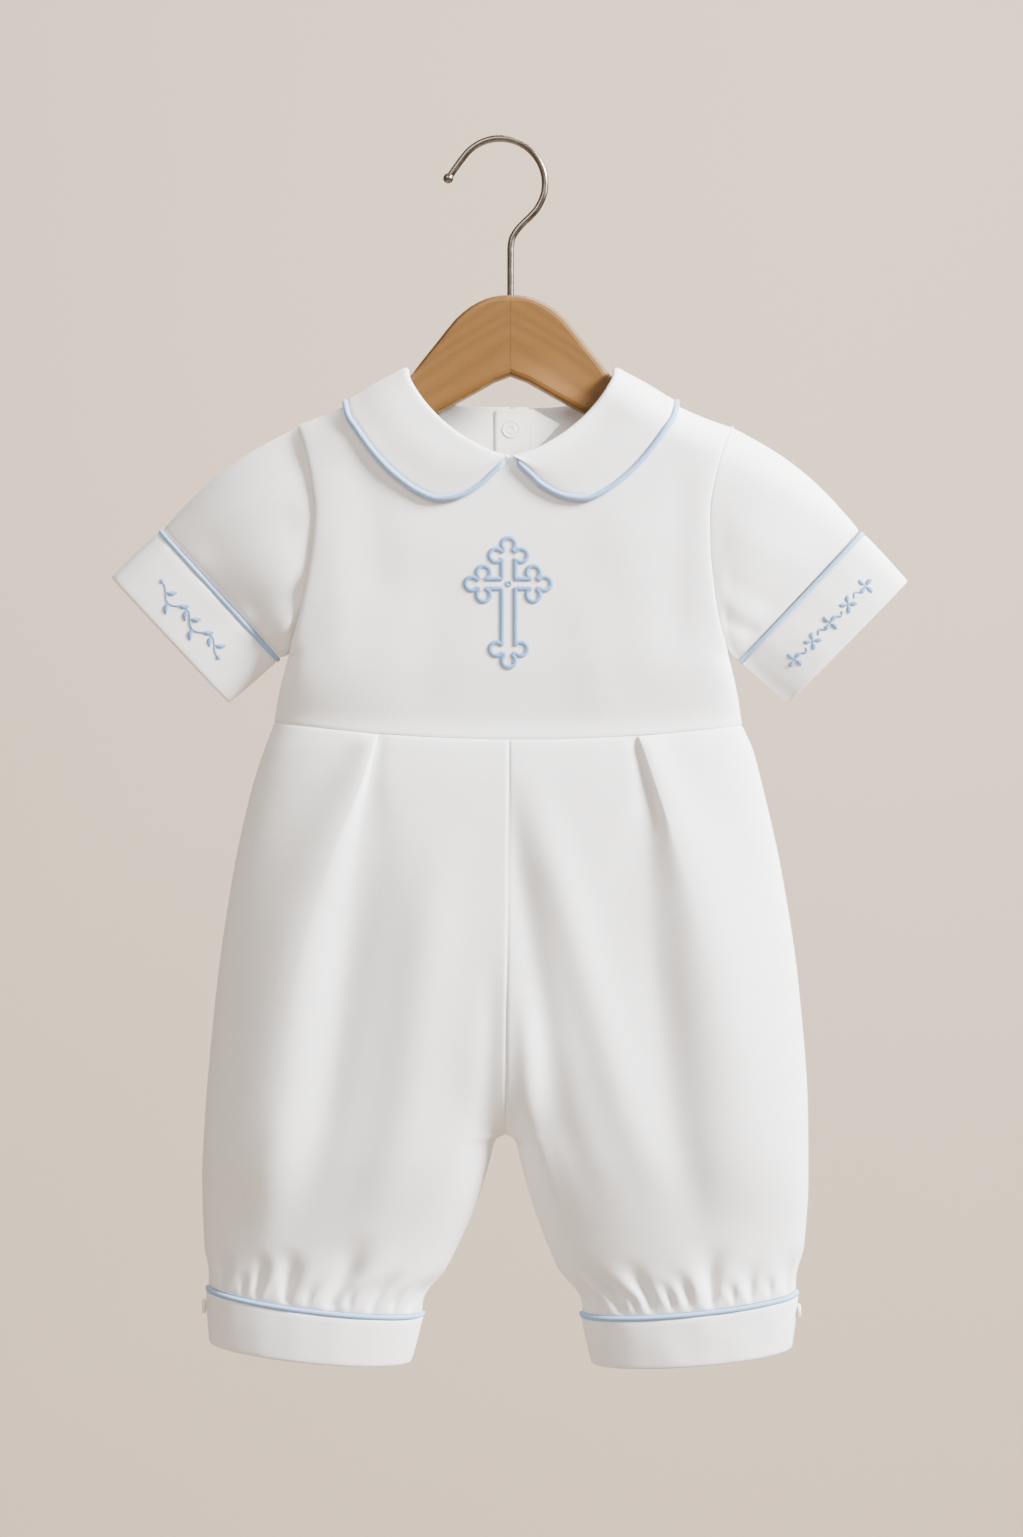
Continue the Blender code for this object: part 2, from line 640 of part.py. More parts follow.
def folds(face, across, above_cuff, below_waist):
    """How far the cloth stands out or falls in at its gathers and at its pleat."""
    moved = np.zeros_like(across)
    for number, gather in enumerate(GATHERS):
        middle = gather.across if face == FRONT else 1 - gather.across
        lean = GATHER_LEAN * (1 if number % 2 else -1) * above_cuff / gather.rise
        trough = np.exp(-(((across - middle - lean) / gather.half_width) ** 2))
        fade = np.clip(above_cuff / 3.0, 0, 1) * np.clip(1 - above_cuff / gather.rise, 0, 1)
        moved = moved - gather.depth * trough * fade
    share = np.clip(below_waist / PLEAT_LENGTH, 0, 1)
    place_across = PLEAT_START - PLEAT_LEAN * share
    trough = np.exp(-(((across - place_across) / PLEAT_HALF_WIDTH) ** 2))
    ridge = np.exp(-(((across - place_across - 2.2 * PLEAT_HALF_WIDTH) / (1.6 * PLEAT_HALF_WIDTH)) ** 2))
    fade = np.clip(below_waist / 4.0, 0, 1) * (1 - share) ** 1.2
    return moved + PLEAT_DEPTH * fade * (0.8 * ridge - trough)


def make_leg_panel(name, side, face, parent):
    columns = np.linspace(0, 1, 28)
    rows = [0, 0.06, 0.2, 0.42, 0.68, 0.88, 1, 1.012, 1.2, 1.42, 1.62, 1.8, 1.93, 2]
    outer, normals = grid(leg(side, face), columns, rows)
    normals = outwards(normals, np.array([0, face, 0]))
    z = outer[..., 2]
    first = np.zeros(outer.shape[:2], bool)
    first[:, 0] = True
    last = np.zeros_like(first)
    last[:, -1] = True
    ends = np.zeros_like(first)
    ends[0] = True
    ends[-1] = True
    down = np.array(rows)[:, None] * np.ones_like(z)
    normals = without(normals, first | (last & (down >= 1)), (0, 1, 0))
    normals = without(normals, last & (down <= 1), (1, 0, 0))
    normals = without(normals, ends, (0, 0, 1))
    wall(name, outer, outer - CLOTH * normals, "white_cloth", parent)


def sleeve(side):
    """A sleeve's surface: angle round it from 0 at its top, and along from 0 at the armhole to 1."""
    cuff = SLEEVE_CUFFS[side]

    def surface(angle, along):
        share = (1 - np.cos(angle)) / 2
        sin = np.sin(angle)
        z = ARMHOLE_TOP_Z + (UNDERARM_Z - ARMHOLE_TOP_Z) * share
        x = edge_x(side, z) + side * ARMHOLE_GAP / 2
        depth = armhole_depth(z) * over_shoulder(x, z)
        start = np.stack([x, -np.sign(sin) * depth, z], axis=-1)
        end = ring_point(cuff, angle, np.zeros_like(along), SLEEVE_CUFF_DEPTH, SLEEVE_CUFF_DEPTH,
                         SLEEVE_CUFF_POWER, 0.0, inset=LEG_INSET / 2)
        point = start + (end - start) * along[..., None]
        swell = np.sin(math.pi * along)
        point[..., 1] -= SLEEVE_PUFF * swell * sin
        point[..., 2] += SLEEVE_BULGE * swell * (1 - share) ** 2
        point[..., 0] += side * SLEEVE_BULGE * 0.6 * swell * (1 - share) ** 2
        return point

    return surface


def make_sleeve(name, side, parent):
    count = 24
    angles = np.arange(count) * 2 * math.pi / count
    rows = [0, 0.15, 0.35, 0.6, 0.85, 0.985]
    a, b = np.meshgrid(angles, rows)
    surface = sleeve(side)
    outer = surface(a, b)
    step = NORMAL_STEP
    ahead = np.minimum(b + step, 1)
    behind = np.maximum(b - step, 0)
    normals = unit(np.cross(surface(a + step, b) - surface(a - step, b), surface(a, ahead) - surface(a, behind)))
    normals = outwards(normals, outer - outer.mean(axis=1, keepdims=True))
    first = np.zeros(outer.shape[:2], bool)
    first[0] = True
    last = np.zeros_like(first)
    last[-1] = True
    cuff = SLEEVE_CUFFS[side]
    axis = np.array([cuff.low_outer_x - cuff.outer_x, 0, cuff.low_outer_z - cuff.outer_z])
    normals = without(normals, first, (1, 0, 0))
    normals = without(normals, last, axis)
    inner = outer - CLOTH * normals
    inner[0, :, 0] = edge_x(side, inner[0, :, 2]) + side * ARMHOLE_GAP / 2
    wall(name, outer, inner, "white_cloth", parent, closed=True)


def collar_path(edge, face):
    """The collar's edge as distance out and turn over the shoulder: 0 on the shoulder line,
    a quarter turn where the cloth hangs straight, and on in the same measure."""
    out = np.array([p[0] for p in edge])
    z = np.array([p[1] for p in edge])
    below = np.maximum(shoulder_z(NECK_X + out) - z, 0) / SHOULDER_ROUND
    turn = np.where(below < 1, np.arccos(np.clip(1 - below, -1, 1)), math.pi / 2 + below - 1)
    return out, face * turn


def collar_edges():
    """Both edges of the collar from centre front over the shoulder to centre back."""
    places = np.linspace(0, 1, len(COLLAR_FRONT_EDGE))
    front_neck = []
    back_neck = []
    for share in places:
        angle = share * math.pi / 2
        out = NECK_HALF_WIDTH * math.sin(angle) ** (2 / NECK_FRONT_POWER)
        front_neck.append((max(out, 0.8), float(neckline_z(FRONT, NECK_X + out))))
        out = NECK_HALF_WIDTH * math.cos(angle) ** (2 / NECK_BACK_POWER)
        back_neck.append((max(out, 0.8), float(neckline_z(BACK, NECK_X + out))))
    front_neck[-1] = (NECK_HALF_WIDTH, float(shoulder_z(NECK_X + NECK_HALF_WIDTH)))
    back_neck[0] = front_neck[-1]
    inner_front = collar_path(front_neck, FRONT)
    inner_back = collar_path(back_neck, BACK)
    outer_front = collar_path(COLLAR_FRONT_EDGE, FRONT)
    outer_back = collar_path(COLLAR_BACK_EDGE, BACK)
    inner = [np.concatenate([front, back[1:]]) for front, back in zip(inner_front, inner_back)]
    outer = [np.concatenate([front, back[1:]]) for front, back in zip(outer_front, outer_back)]
    inner[1][len(places) - 1] = 0.0
    outer[1][len(places) - 1] = 0.0
    return inner, outer


def shoulder_point(x, turn):
    """A point of the bodice's outer surface by distance across and turn over the shoulder."""
    folded = np.clip(np.abs(turn), 0, math.pi / 2)
    z = shoulder_z(x) - SHOULDER_ROUND * (1 - np.cos(folded)) - SHOULDER_ROUND * (np.abs(turn) - folded)
    front = bodice_y(FRONT, x, z)
    back = bodice_y(BACK, x, z)
    y = np.where(turn < 0, front, back)
    return np.stack([x, np.where(np.abs(turn) < 1e-6, 0.0, y), z], axis=-1)


def collar(side):
    """A collar piece laid on the bodice: along from 0 at centre front to 2 at centre back,
    out from 0 at the neck fold to 1 at its edge."""
    inner, outer = collar_edges()
    stations = np.linspace(0, 2, len(inner[0]))

    def surface(along, out):
        x = (1 - out) * read(stations, inner[0], along) + out * read(stations, outer[0], along)
        turn = (1 - out) * read(stations, inner[1], along) + out * read(stations, outer[1], along)
        return shoulder_point(NECK_X + side * x, turn)

    return surface


def make_collar(name, side, parent):
    along = np.concatenate([np.linspace(0, 0.8, 10), np.linspace(0.86, 1.14, 13), np.linspace(1.2, 2, 10)])
    along = along[::side]
    out = np.array([0, 0.3, 0.65, 1])
    surface = collar(side)
    points, normals = grid(surface, along, out)
    normals = outwards(normals, points - np.array([NECK_X + side * 40.0, 0, -190.0]))
    lift = COLLAR_GAP + COLLAR_CLOTH
    wall(name, points + lift * normals, points + COLLAR_GAP * normals, "white_cloth", parent)
    edge = points[-1]
    up = normals[-1]
    run = unit(np.gradient(edge, axis=0))
    away = unit(np.cross(run, up))
    away = outwards(away, edge - points[-2])
    radius = COLLAR_PIPING_RADIUS
    route = edge + (radius + SEAM_GAP) * away + (COLLAR_GAP + radius) * up
    tube(name.replace("collar", "collar_piping"), route[1:-1], radius, "blue_piping", parent)


# The hook's ball end: places along the wire and its thickness there, as a share of the wire's
BallPoint = namedtuple("BallPoint", "x z thickness")
BALL_END = [
    BallPoint(-27.3, -20.7, 0.5),
    BallPoint(-26.8, -20.0, 1.2),
    BallPoint(-26.0, -18.8, 1.55),
    BallPoint(-25.1, -17.4, 1.5),
    BallPoint(-24.2, -16.1, 1.0),
]


def make_hook(parent):
    """The wire hook: a round of wire, straightened towards its ball end, and an S down into the wood."""
    centre_z = WIRE_RADIUS - HOOK_RADIUS
    round_part = [
        (HOOK_RADIUS * math.cos(math.radians(a)), 0.0, centre_z + HOOK_RADIUS * math.sin(math.radians(a)))
        for a in range(144, -24, -8)
    ]
    ball_end = [(point.x, 0, point.z) for point in BALL_END]
    lower = [(18.6, 0, -33.2), (15.0, 0, -37.4), (11.0, 0, -41.2), (7.7, 0, -45.2), (5.8, 0, -49.2),
             (STEM_X, 0, -54.0), (STEM_X, 0, -64.0), (STEM_X, 0, WOOD_TOP_Z - STEM_DEPTH + 1.0)]
    tube("hanger_hook", ball_end + round_part + lower, WIRE_RADIUS, "nickel_wire", parent)
    wire = bpy.data.objects["hanger_hook"].data
    wire.bevel_resolution = 2
    for point, end in zip(wire.splines[0].points, BALL_END):
        point.radius = end.thickness


def wood_outline():
    """The hanger's outline from the front, one arm mirrored on the other, going round clockwise."""
    top = [(4.0, WOOD_TOP_Z), (8.0, -77.5), (12.0, -78.6), (16.0, -80.3), (20.0, -82.6), (23.8, -85.5),
           (27.6, -89.0), (32.0, -94.3), (36.6, -100.2), (44.5, -110.0), (49.8, -117.0)]
    reach = np.linspace(58.0, ARM_REACH, 6)
    under_cloth = shoulder_z(NECK_X + reach) - CLOTH - np.linspace(*ARM_CLEARANCE, len(reach))
    top += list(zip(reach, under_cloth))
    tip_z = float(under_cloth[-1])
    tip = [(ARM_REACH + 5.5 * math.sin(a), tip_z - 6.5 + 6.5 * math.cos(a)) for a in np.linspace(0.5, 2.7, 6)]
    low = [(80.0, -152.0), (60.0, -147.0), (36.5, -136.0), (20.0, -127.0), (8.0, -120.2), (0.0, -117.2)]
    half = top + tip + low
    return half + [(-x, z) for x, z in half[-2::-1]]


def make_wood(parent):
    """The beech arms: one extruded outline with rounded edges and a blind hole for the hook."""
    curve = bpy.data.curves.new("wood_outline", "CURVE")
    curve.dimensions = "2D"
    curve.fill_mode = "BOTH"
    curve.extrude = WOOD_THICKNESS / 2 * MM
    spline = curve.splines.new("POLY")
    outline = wood_outline()
    spline.points.add(len(outline) - 1)
    for point, (x, z) in zip(spline.points, outline):
        point.co = (x * MM, z * MM, 0, 1)
    spline.use_cyclic_u = True
    flat = bpy.data.objects.new("wood_outline", curve)
    flat.rotation_euler = (math.pi / 2, 0, 0)
    flat.location = (STEM_X * MM, 0, 0)
    bpy.context.scene.collection.objects.link(flat)
    bpy.context.view_layer.update()
    graph = bpy.context.evaluated_depsgraph_get()
    data = bpy.data.meshes.new_from_object(flat.evaluated_get(graph))
    data.transform(flat.matrix_world)
    bpy.data.objects.remove(flat, do_unlink=True)
    shape = bmesh.new()
    shape.from_mesh(data)
    bmesh.ops.remove_doubles(shape, verts=shape.verts[:], dist=1e-6)
    bmesh.ops.dissolve_limit(shape, angle_limit=0.01, verts=shape.verts[:], edges=shape.edges[:])
    bmesh.ops.recalc_face_normals(shape, faces=shape.faces[:])
    shape.to_mesh(data)
    shape.free()
    wood = bpy.data.objects.new("hanger_wood", data)
    place(wood, "beech", parent)
    rounding = wood.modifiers.new("rounded edges", "BEVEL")
    rounding.width = WOOD_EDGE * MM
    rounding.segments = 3
    rounding.limit_method = "ANGLE"
    rounding.angle_limit = math.radians(60)
    bpy.ops.mesh.primitive_cylinder_add(
        vertices=16, radius=(WIRE_RADIUS + SEAM_GAP) * MM, depth=2 * STEM_DEPTH * MM,
        location=(STEM_X * MM, 0, WOOD_TOP_Z * MM))
    hole = bpy.context.object
    hole.name = "stem_hole"
    for collection in list(hole.users_collection):
        collection.objects.unlink(hole)
    bpy.data.collections["cutters"].objects.link(hole)
    hole.hide_render = True
    hole.display_type = "WIRE"
    drilling = wood.modifiers.new("stem hole", "BOOLEAN")
    drilling.operation = "DIFFERENCE"
    drilling.object = hole


def make_romper():
    clear_scene()
    for name in ("baptism_romper", "cutters"):
        bpy.context.scene.collection.children.link(bpy.data.collections.new(name))
    parent = bpy.data.objects.new("romper_frame", None)
    bpy.data.collections["baptism_romper"].objects.link(parent)
    make_hook(parent)
    make_wood(parent)
    make_bodice(parent)
    strip_y = make_placket(parent)
    button_y = strip_y - SEAM_GAP - BUTTON_THICKNESS / 2
    make_button("neck_button", (NECK_X, button_y, NECK_BUTTON_Z), (math.pi / 2, 0, 0), BUTTON_RADIUS,
                "pearl_button", parent)
    for word, side in SIDES.items():
        make_collar(f"collar_{word}", side, parent)
        make_sleeve(f"sleeve_{word}", side, parent)
        cuff = SLEEVE_CUFFS[side]
        shape = (SLEEVE_CUFF_DEPTH, SLEEVE_CUFF_DEPTH, SLEEVE_CUFF_POWER, 0.0)
        make_cuff(f"sleeve_cuff_{word}", cuff, *shape, 24, parent)
        make_cuff_piping(f"sleeve_piping_{word}", cuff, *shape, 24, parent)
        make_leg_panel(f"leg_front_{word}", side, FRONT, parent)
        make_leg_panel(f"leg_back_{word}", side, BACK, parent)
        cuff = LEG_CUFFS[side]
        shape = (LEG_CUFF_FRONT, LEG_CUFF_BACK, 2.0, LEG_CUFF_BOW)
        make_cuff(f"leg_cuff_{word}", cuff, *shape, 32, parent)
        make_cuff_piping(f"leg_piping_{word}", cuff, *shape, 32, parent)
        share = LEG_BUTTON_DROP / (cuff.outer_z - cuff.low_outer_z)
        cuff_x = cuff.outer_x + (cuff.low_outer_x - cuff.outer_x) * share
        button_x = cuff_x + side * (BUTTON_THICKNESS / 2 + 2 * SEAM_GAP)
        make_button(f"leg_button_{word}", (button_x, 0, cuff.outer_z - LEG_BUTTON_DROP), (0, side * math.pi / 2, 0),
                    LEG_BUTTON_RADIUS, "pearl_button", parent)


make_romper()
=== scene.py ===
import math
from collections import namedtuple

import bmesh
import bpy
import numpy as np
from mathutils import Euler, Matrix, Vector


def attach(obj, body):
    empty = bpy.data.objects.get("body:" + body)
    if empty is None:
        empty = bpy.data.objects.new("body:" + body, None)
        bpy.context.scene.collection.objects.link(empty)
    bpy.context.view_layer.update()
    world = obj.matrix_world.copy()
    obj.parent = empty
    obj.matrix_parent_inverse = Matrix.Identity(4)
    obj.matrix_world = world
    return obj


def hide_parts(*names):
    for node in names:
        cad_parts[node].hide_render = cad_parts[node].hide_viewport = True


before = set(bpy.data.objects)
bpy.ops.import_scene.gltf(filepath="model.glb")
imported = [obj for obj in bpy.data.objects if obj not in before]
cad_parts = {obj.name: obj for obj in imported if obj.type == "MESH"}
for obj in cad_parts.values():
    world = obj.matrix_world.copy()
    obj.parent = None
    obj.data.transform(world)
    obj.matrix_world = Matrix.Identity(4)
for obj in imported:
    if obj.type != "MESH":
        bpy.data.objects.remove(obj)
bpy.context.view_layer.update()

bl_info = {
    "name": "Baptism romper on a hanger",
    "version": (1, 0, 0),
    "blender": (4, 5, 0),
    "location": "3D View > Sidebar > Romper",
    "description": "Dresses the romper's solids with cloth, piping, embroidery, wood and wire",
    "category": "Object",
}

MM = 0.001

# The sizes of the solids, in millimetres, without the gaps between them: cloth meets at its seams
COLLAR_GAP = 0.5
COLLAR_CLOTH = 1.6
COLLAR_ROLL = 2.4
COLLAR_PUFF = 0.9
CLOTH = 1.2
PIPING_RADIUS = 1.4
CORD_SHARE = 0.92
COLLAR_CORD_SHARE = 1.25
# How far the weave's coordinates run round a cord, in metres
CORD_ROUND = 0.009
COLLAR_CORD_ROUND = 0.008
COLLAR_PIPING_RADIUS = 1.2
WIRE_RADIUS = 1.75
HOOK_RADIUS = 22.5
# The hook's arc from its open end to the bend in degrees, and the number of its points
HOOK_ARC = (144, -16, 21)
HOOK_TIP = (-27.4, -20.3)
BALL_MIDDLE = 2.55
BALL_RADIUS = 2.65
STEM_X = 5.25
STEM_SUNK = 13.0
HOOK_BEND = [(18.6, -33.2), (15.0, -37.4), (11.0, -41.2), (7.7, -45.2), (5.8, -49.2), (STEM_X, -54.0),
             (STEM_X, -64.0)]
WOOD_TOP_Z = -77.0
NECK_X = 5.5
NECK_HALF_WIDTH = 51.0
NECK_SIDE_Z = -115.0
NECK_FRONT_DROP = 43.5
NECK_BACK_DROP = 16.0
NECK_FRONT_POWER = 1.5
NECK_BACK_POWER = 2.6
COLLAR_EDGE_INSET = 1.0
SHOULDER_ROUND = 20.0
ARMHOLE_TOP_Z = -142.5
UNDERARM_Z = -256.0
ARMHOLE_DEPTH = 18.0
ARMHOLE_EASE = 22.0
ARMHOLE_POWER = 2.8
BODICE_FULLNESS = 2.0
FULLNESS_RISE = 30.0
WAIST_Z = -290.0
WAIST_TILT = -1.5
WAIST_DIP = 8.0
CROTCH_Z = -496.25
CROTCH_ROUND = 60.0
CROTCH_EASE = 28.0
NEAR_INNER = 0.82
EDGE_SETTLE = 0.75
DEPTH_SETTLE = 0.08
CENTRE_TOP_X = 4.6
CENTRE_LOW_X = 2.75
BACK_EDGE_X = 14.5
PLACKET_X = (-2.5, 15.5)
PLACKET_LOW_Z = -282.0
PLACKET_INSET = CLOTH + 2.3
PLACKET_CLOTH = 1.6
NECK_BUTTON_Z = -142.5
LEG_BUTTON_DROP = 11.0
LEG_BUTTON_GAP = 0.6
LEG_CUFF_FRONT = 21.0
LEG_CUFF_BACK = 18.0
LEG_CUFF_BOW = 3.0
LEG_CUFF_POWER = 2.0
LEG_INSET = 1.2
SLEEVE_CUFF_DEPTH = 10.5
SLEEVE_CUFF_POWER = 2.4
SLEEVE_BULGE = 4.5
SLEEVE_PUFF = 4.0
CUFF_FOLD = 1.8
BUTTON_THICKNESS = 1.6
# Depth of a cuff's ring to the front and to the back, its roundness, and how far its middle bows down
SLEEVE_RING = (SLEEVE_CUFF_DEPTH, SLEEVE_CUFF_DEPTH, SLEEVE_CUFF_POWER, 0.0)
LEG_RING = (LEG_CUFF_FRONT, LEG_CUFF_BACK, LEG_CUFF_POWER, LEG_CUFF_BOW)

FRONT = -1
BACK = 1
RIGHT = -1
LEFT = 1
SIDES = {"right": RIGHT, "left": LEFT}
FACES = {"front": FRONT, "back": BACK}


def rows(kind, values):
    return [kind(*row) for row in values]


# The outline from the shoulders to the leg cuffs: its two edges, its depth to the front and to the back
# of the side seams, and the roundness of the section
Section = namedtuple("Section", "z right left front back power")
OUTLINE = rows(Section, [
    (-115.0, -103.0, 117.0, 20.0, 15.0, 3.2),
    (-142.5, -100.5, 115.5, 20.0, 15.0, 3.2),
    (-154.0, -97.0, 111.0, 20.5, 15.0, 3.2),
    (-170.0, -93.4, 106.6, 21.0, 15.5, 3.2),
    (-187.0, -91.5, 104.0, 21.5, 16.0, 3.1),
    (-204.0, -93.0, 104.2, 22.0, 16.0, 3.0),
    (-221.5, -96.0, 105.8, 22.0, 16.5, 3.0),
    (-239.0, -100.0, 108.5, 22.0, 17.0, 3.0),
    (-256.0, -105.0, 113.5, 22.0, 17.0, 3.0),
    (-279.0, -111.0, 119.0, 21.0, 16.5, 3.0),
    (-290.0, -113.0, 120.8, 20.5, 16.0, 2.9),
    (-304.0, -118.0, 126.5, 23.5, 18.0, 2.8),
    (-321.0, -123.5, 131.0, 26.0, 19.5, 2.7),
    (-366.0, -133.5, 141.0, 29.0, 21.0, 2.6),
    (-423.5, -141.8, 149.5, 30.0, 22.0, 2.5),
    (-486.5, -147.5, 154.0, 29.0, 22.0, 2.4),
    (-518.0, -149.0, 154.2, 27.0, 21.5, 2.3),
    (-550.5, -148.0, 152.2, 24.0, 20.5, 2.2),
    (-561.0, -146.4, 150.0, 22.8, 19.8, 2.2),
    (-572.0, -143.8, 147.0, 21.4, 18.8, 2.2),
    (-586.0, -141.0, 144.0, 20.0, 17.5, 2.2),
])

InnerEdge = namedtuple("InnerEdge", "z right left")
INNER_EDGES = rows(InnerEdge, [
    (-496.25, 2.75, 2.75), (-497.5, -1.3, 6.8), (-509.0, -4.75, 9.8), (-528.5, -10.5, 15.3),
    (-549.5, -19.8, 22.8), (-569.5, -30.0, 32.0), (-581.0, -36.8, 39.8), (-586.0, -39.0, 42.0),
])

ShoulderPoint = namedtuple("ShoulderPoint", "out z")
SHOULDER_LINE = rows(ShoulderPoint, [
    (0.0, -92.0), (30.0, -103.0), (51.0, -114.0), (65.0, -122.6), (80.0, -130.6), (95.0, -137.4),
    (112.0, -143.6),
])

EdgePoint = namedtuple("EdgePoint", "out z")
COLLAR_FRONT_EDGE = rows(EdgePoint, [
    (3.2, -160.4), (9.5, -166.0), (16.5, -172.5), (25.0, -177.0), (35.0, -178.7), (45.0, -175.4),
    (55.0, -168.4), (65.0, -158.6), (74.0, -146.6), (79.5, -137.5), (81.0, -131.0),
])
COLLAR_BACK_EDGE = rows(EdgePoint, [
    (81.0, -131.0), (79.5, -138.0), (72.0, -150.5), (61.0, -160.5), (47.0, -167.0), (33.0, -169.5),
    (20.0, -169.0), (10.0, -165.5), (5.0, -158.0), (3.4, -148.0), (3.0, -136.0),
])

Cuff = namedtuple("Cuff", "outer_x outer_z inner_x inner_z low_outer_x low_outer_z low_inner_x low_inner_z")
LEG_CUFFS = {
    RIGHT: Cuff(-147.0, -571.0, -37.3, -584.2, -145.6, -599.3, -44.3, -609.3),
    LEFT: Cuff(149.3, -573.5, 39.5, -584.5, 146.2, -602.0, 45.6, -610.0),
}
SLEEVE_CUFFS = {
    RIGHT: Cuff(-169.0, -193.5, -109.5, -258.5, -194.5, -217.5, -135.5, -280.5),
    LEFT: Cuff(180.5, -194.5, 119.0, -259.5, 204.0, -219.5, 144.0, -280.5),
}

# Gathers above the leg cuffs, measured in the photo: share of the way from the outer to the inner side,
# half width in mm, depth in mm, how far up in mm, and how far the fold leans inwards on its way up
Gather = namedtuple("Gather", "share half_width depth rise lean")
GATHERS = {
    RIGHT: rows(Gather, [
        (0.070, 2.2, 1.8, 26.0, 1.0),
        (0.165, 1.5, 1.2, 14.0, 1.0),
        (0.235, 2.2, 2.6, 27.0, 1.0),
        (0.375, 3.2, 3.2, 31.0, -3.0),
        (0.470, 1.5, 1.5, 15.0, 1.0),
        (0.575, 4.2, 4.0, 42.0, 6.0),
        (0.665, 1.5, 1.4, 15.0, -1.0),
        (0.760, 2.4, 2.3, 24.0, 5.0),
        (0.860, 1.6, 1.5, 16.0, 2.0),
        (0.935, 2.6, 2.6, 27.0, 8.0),
    ]),
    LEFT: rows(Gather, [
        (0.055, 2.6, 2.8, 29.0, -2.0),
        (0.135, 1.5, 1.3, 14.0, -1.0),
        (0.226, 2.2, 2.2, 22.0, -3.0),
        (0.305, 1.5, 1.3, 14.0, -1.0),
        (0.410, 3.6, 3.6, 36.0, -8.0),
        (0.507, 2.2, 2.3, 23.0, -1.0),
        (0.585, 1.7, 1.9, 19.0, 0.0),
        (0.680, 2.8, 3.0, 30.0, 1.0),
        (0.750, 1.5, 1.2, 14.0, 1.0),
        (0.815, 3.2, 3.3, 30.0, 8.0),
        (0.900, 1.8, 1.8, 18.0, 3.0),
        (0.960, 1.6, 1.4, 14.0, 2.0),
    ]),
}
# Long soft folds down the trousers, ridges positive and hollows negative: share across at the top and at
# the low end, both heights, half width as a share, and height in mm
Fold = namedtuple("Fold", "top_share low_share top_z low_z half_width height")
LONG_FOLDS = {
    RIGHT: rows(Fold, [
        (0.49, 0.36, -345.0, -550.0, 0.080, -2.6),
        (0.77, 0.62, -330.0, -570.0, 0.100, 2.4),
        (0.95, 0.93, -400.0, -530.0, 0.040, -1.2),
        (0.27, 0.24, -465.0, -575.0, 0.080, 1.2),
    ]),
    LEFT: rows(Fold, [
        (0.94, 0.50, -300.0, -540.0, 0.078, 2.5),
        (1.03, 0.76, -300.0, -545.0, 0.055, -1.9),
        (0.93, 0.92, -410.0, -550.0, 0.038, 1.7),
        (0.52, 0.40, -370.0, -570.0, 0.085, -2.0),
    ]),
}
# The waist pleats, by distance below the waist seam: share across of the lip, height of the lip, and how
# far the cloth takes to fall off on its inner and on its outer side
PleatPoint = namedtuple("PleatPoint", "below share height inner outer")
PLEAT_FOLLOW = 60.0
PLEATS = {
    RIGHT: rows(PleatPoint, [
        (0.0, 0.455, 0.3, 0.9, 10.0),
        (4.0, 0.452, 2.6, 1.0, 10.0),
        (22.0, 0.437, 3.3, 2.6, 14.0),
        (46.0, 0.385, 4.2, 10.0, 18.0),
        (70.0, 0.345, 4.7, 16.0, 22.0),
        (96.0, 0.300, 4.8, 22.0, 24.0),
        (131.0, 0.270, 4.6, 26.0, 24.0),
        (175.0, 0.245, 3.6, 30.0, 24.0),
        (215.0, 0.225, 1.8, 31.0, 24.0),
        (250.0, 0.215, 0.0, 31.0, 24.0),
        (300.0, 0.215, 0.0, 31.0, 24.0),
    ]),
    LEFT: rows(PleatPoint, [
        (0.0, 0.464, 0.3, 0.9, 10.0),
        (4.0, 0.460, 2.6, 1.0, 10.0),
        (36.0, 0.410, 3.5, 5.0, 16.0),
        (56.0, 0.378, 4.4, 15.0, 20.0),
        (96.0, 0.320, 5.0, 27.0, 24.0),
        (140.0, 0.271, 4.8, 35.0, 24.0),
        (180.0, 0.243, 3.8, 38.0, 24.0),
        (218.0, 0.225, 1.9, 40.0, 24.0),
        (252.0, 0.215, 0.0, 40.0, 24.0),
        (300.0, 0.215, 0.0, 40.0, 24.0),
    ]),
}

# Hollows and swells of the hanging bodice: a line from its top to its low end, half width and height in mm
BodiceFold = namedtuple("BodiceFold", "top_x top_z low_x low_z half_width height")
BODICE_FOLDS = {
    FRONT: rows(BodiceFold, [
        (92.0, -150.0, 87.0, -265.0, 9.0, -1.5),
        (58.0, -165.0, 74.0, -285.0, 15.0, 1.0),
        (-72.0, -150.0, -58.0, -240.0, 12.0, -1.1),
        (-84.0, -190.0, -78.0, -270.0, 8.0, 0.8),
        (40.0, -215.0, 52.0, -296.0, 13.0, 0.7),
        (-30.0, -205.0, -40.0, -296.0, 14.0, -0.6),
    ]),
    BACK: rows(BodiceFold, [
        (80.0, -150.0, 60.0, -250.0, 13.0, -1.1),
        (-70.0, -150.0, -60.0, -245.0, 12.0, -1.0),
        (44.0, -200.0, 50.0, -290.0, 14.0, 0.8),
        (-36.0, -200.0, -44.0, -290.0, 13.0, 0.7),
    ]),
}
# Folds of the sleeves: share round the sleeve from its top to its underside at the armhole and at the
# cuff, where along it the fold begins, half width as a share, and height in mm
SleeveFold = namedtuple("SleeveFold", "start end begin half_width height")
SLEEVE_FOLDS = {
    RIGHT: rows(SleeveFold, [
        (0.40, 0.30, 0.05, 0.090, -0.9),
        (0.72, 0.66, 0.00, 0.060, -2.0),
        (0.86, 0.84, 0.05, 0.045, 1.5),
    ]),
    LEFT: rows(SleeveFold, [
        (0.45, 0.38, 0.10, 0.090, 0.6),
        (0.66, 0.62, 0.10, 0.070, -0.8),
        (0.84, 0.80, 0.05, 0.050, -1.2),
    ]),
}


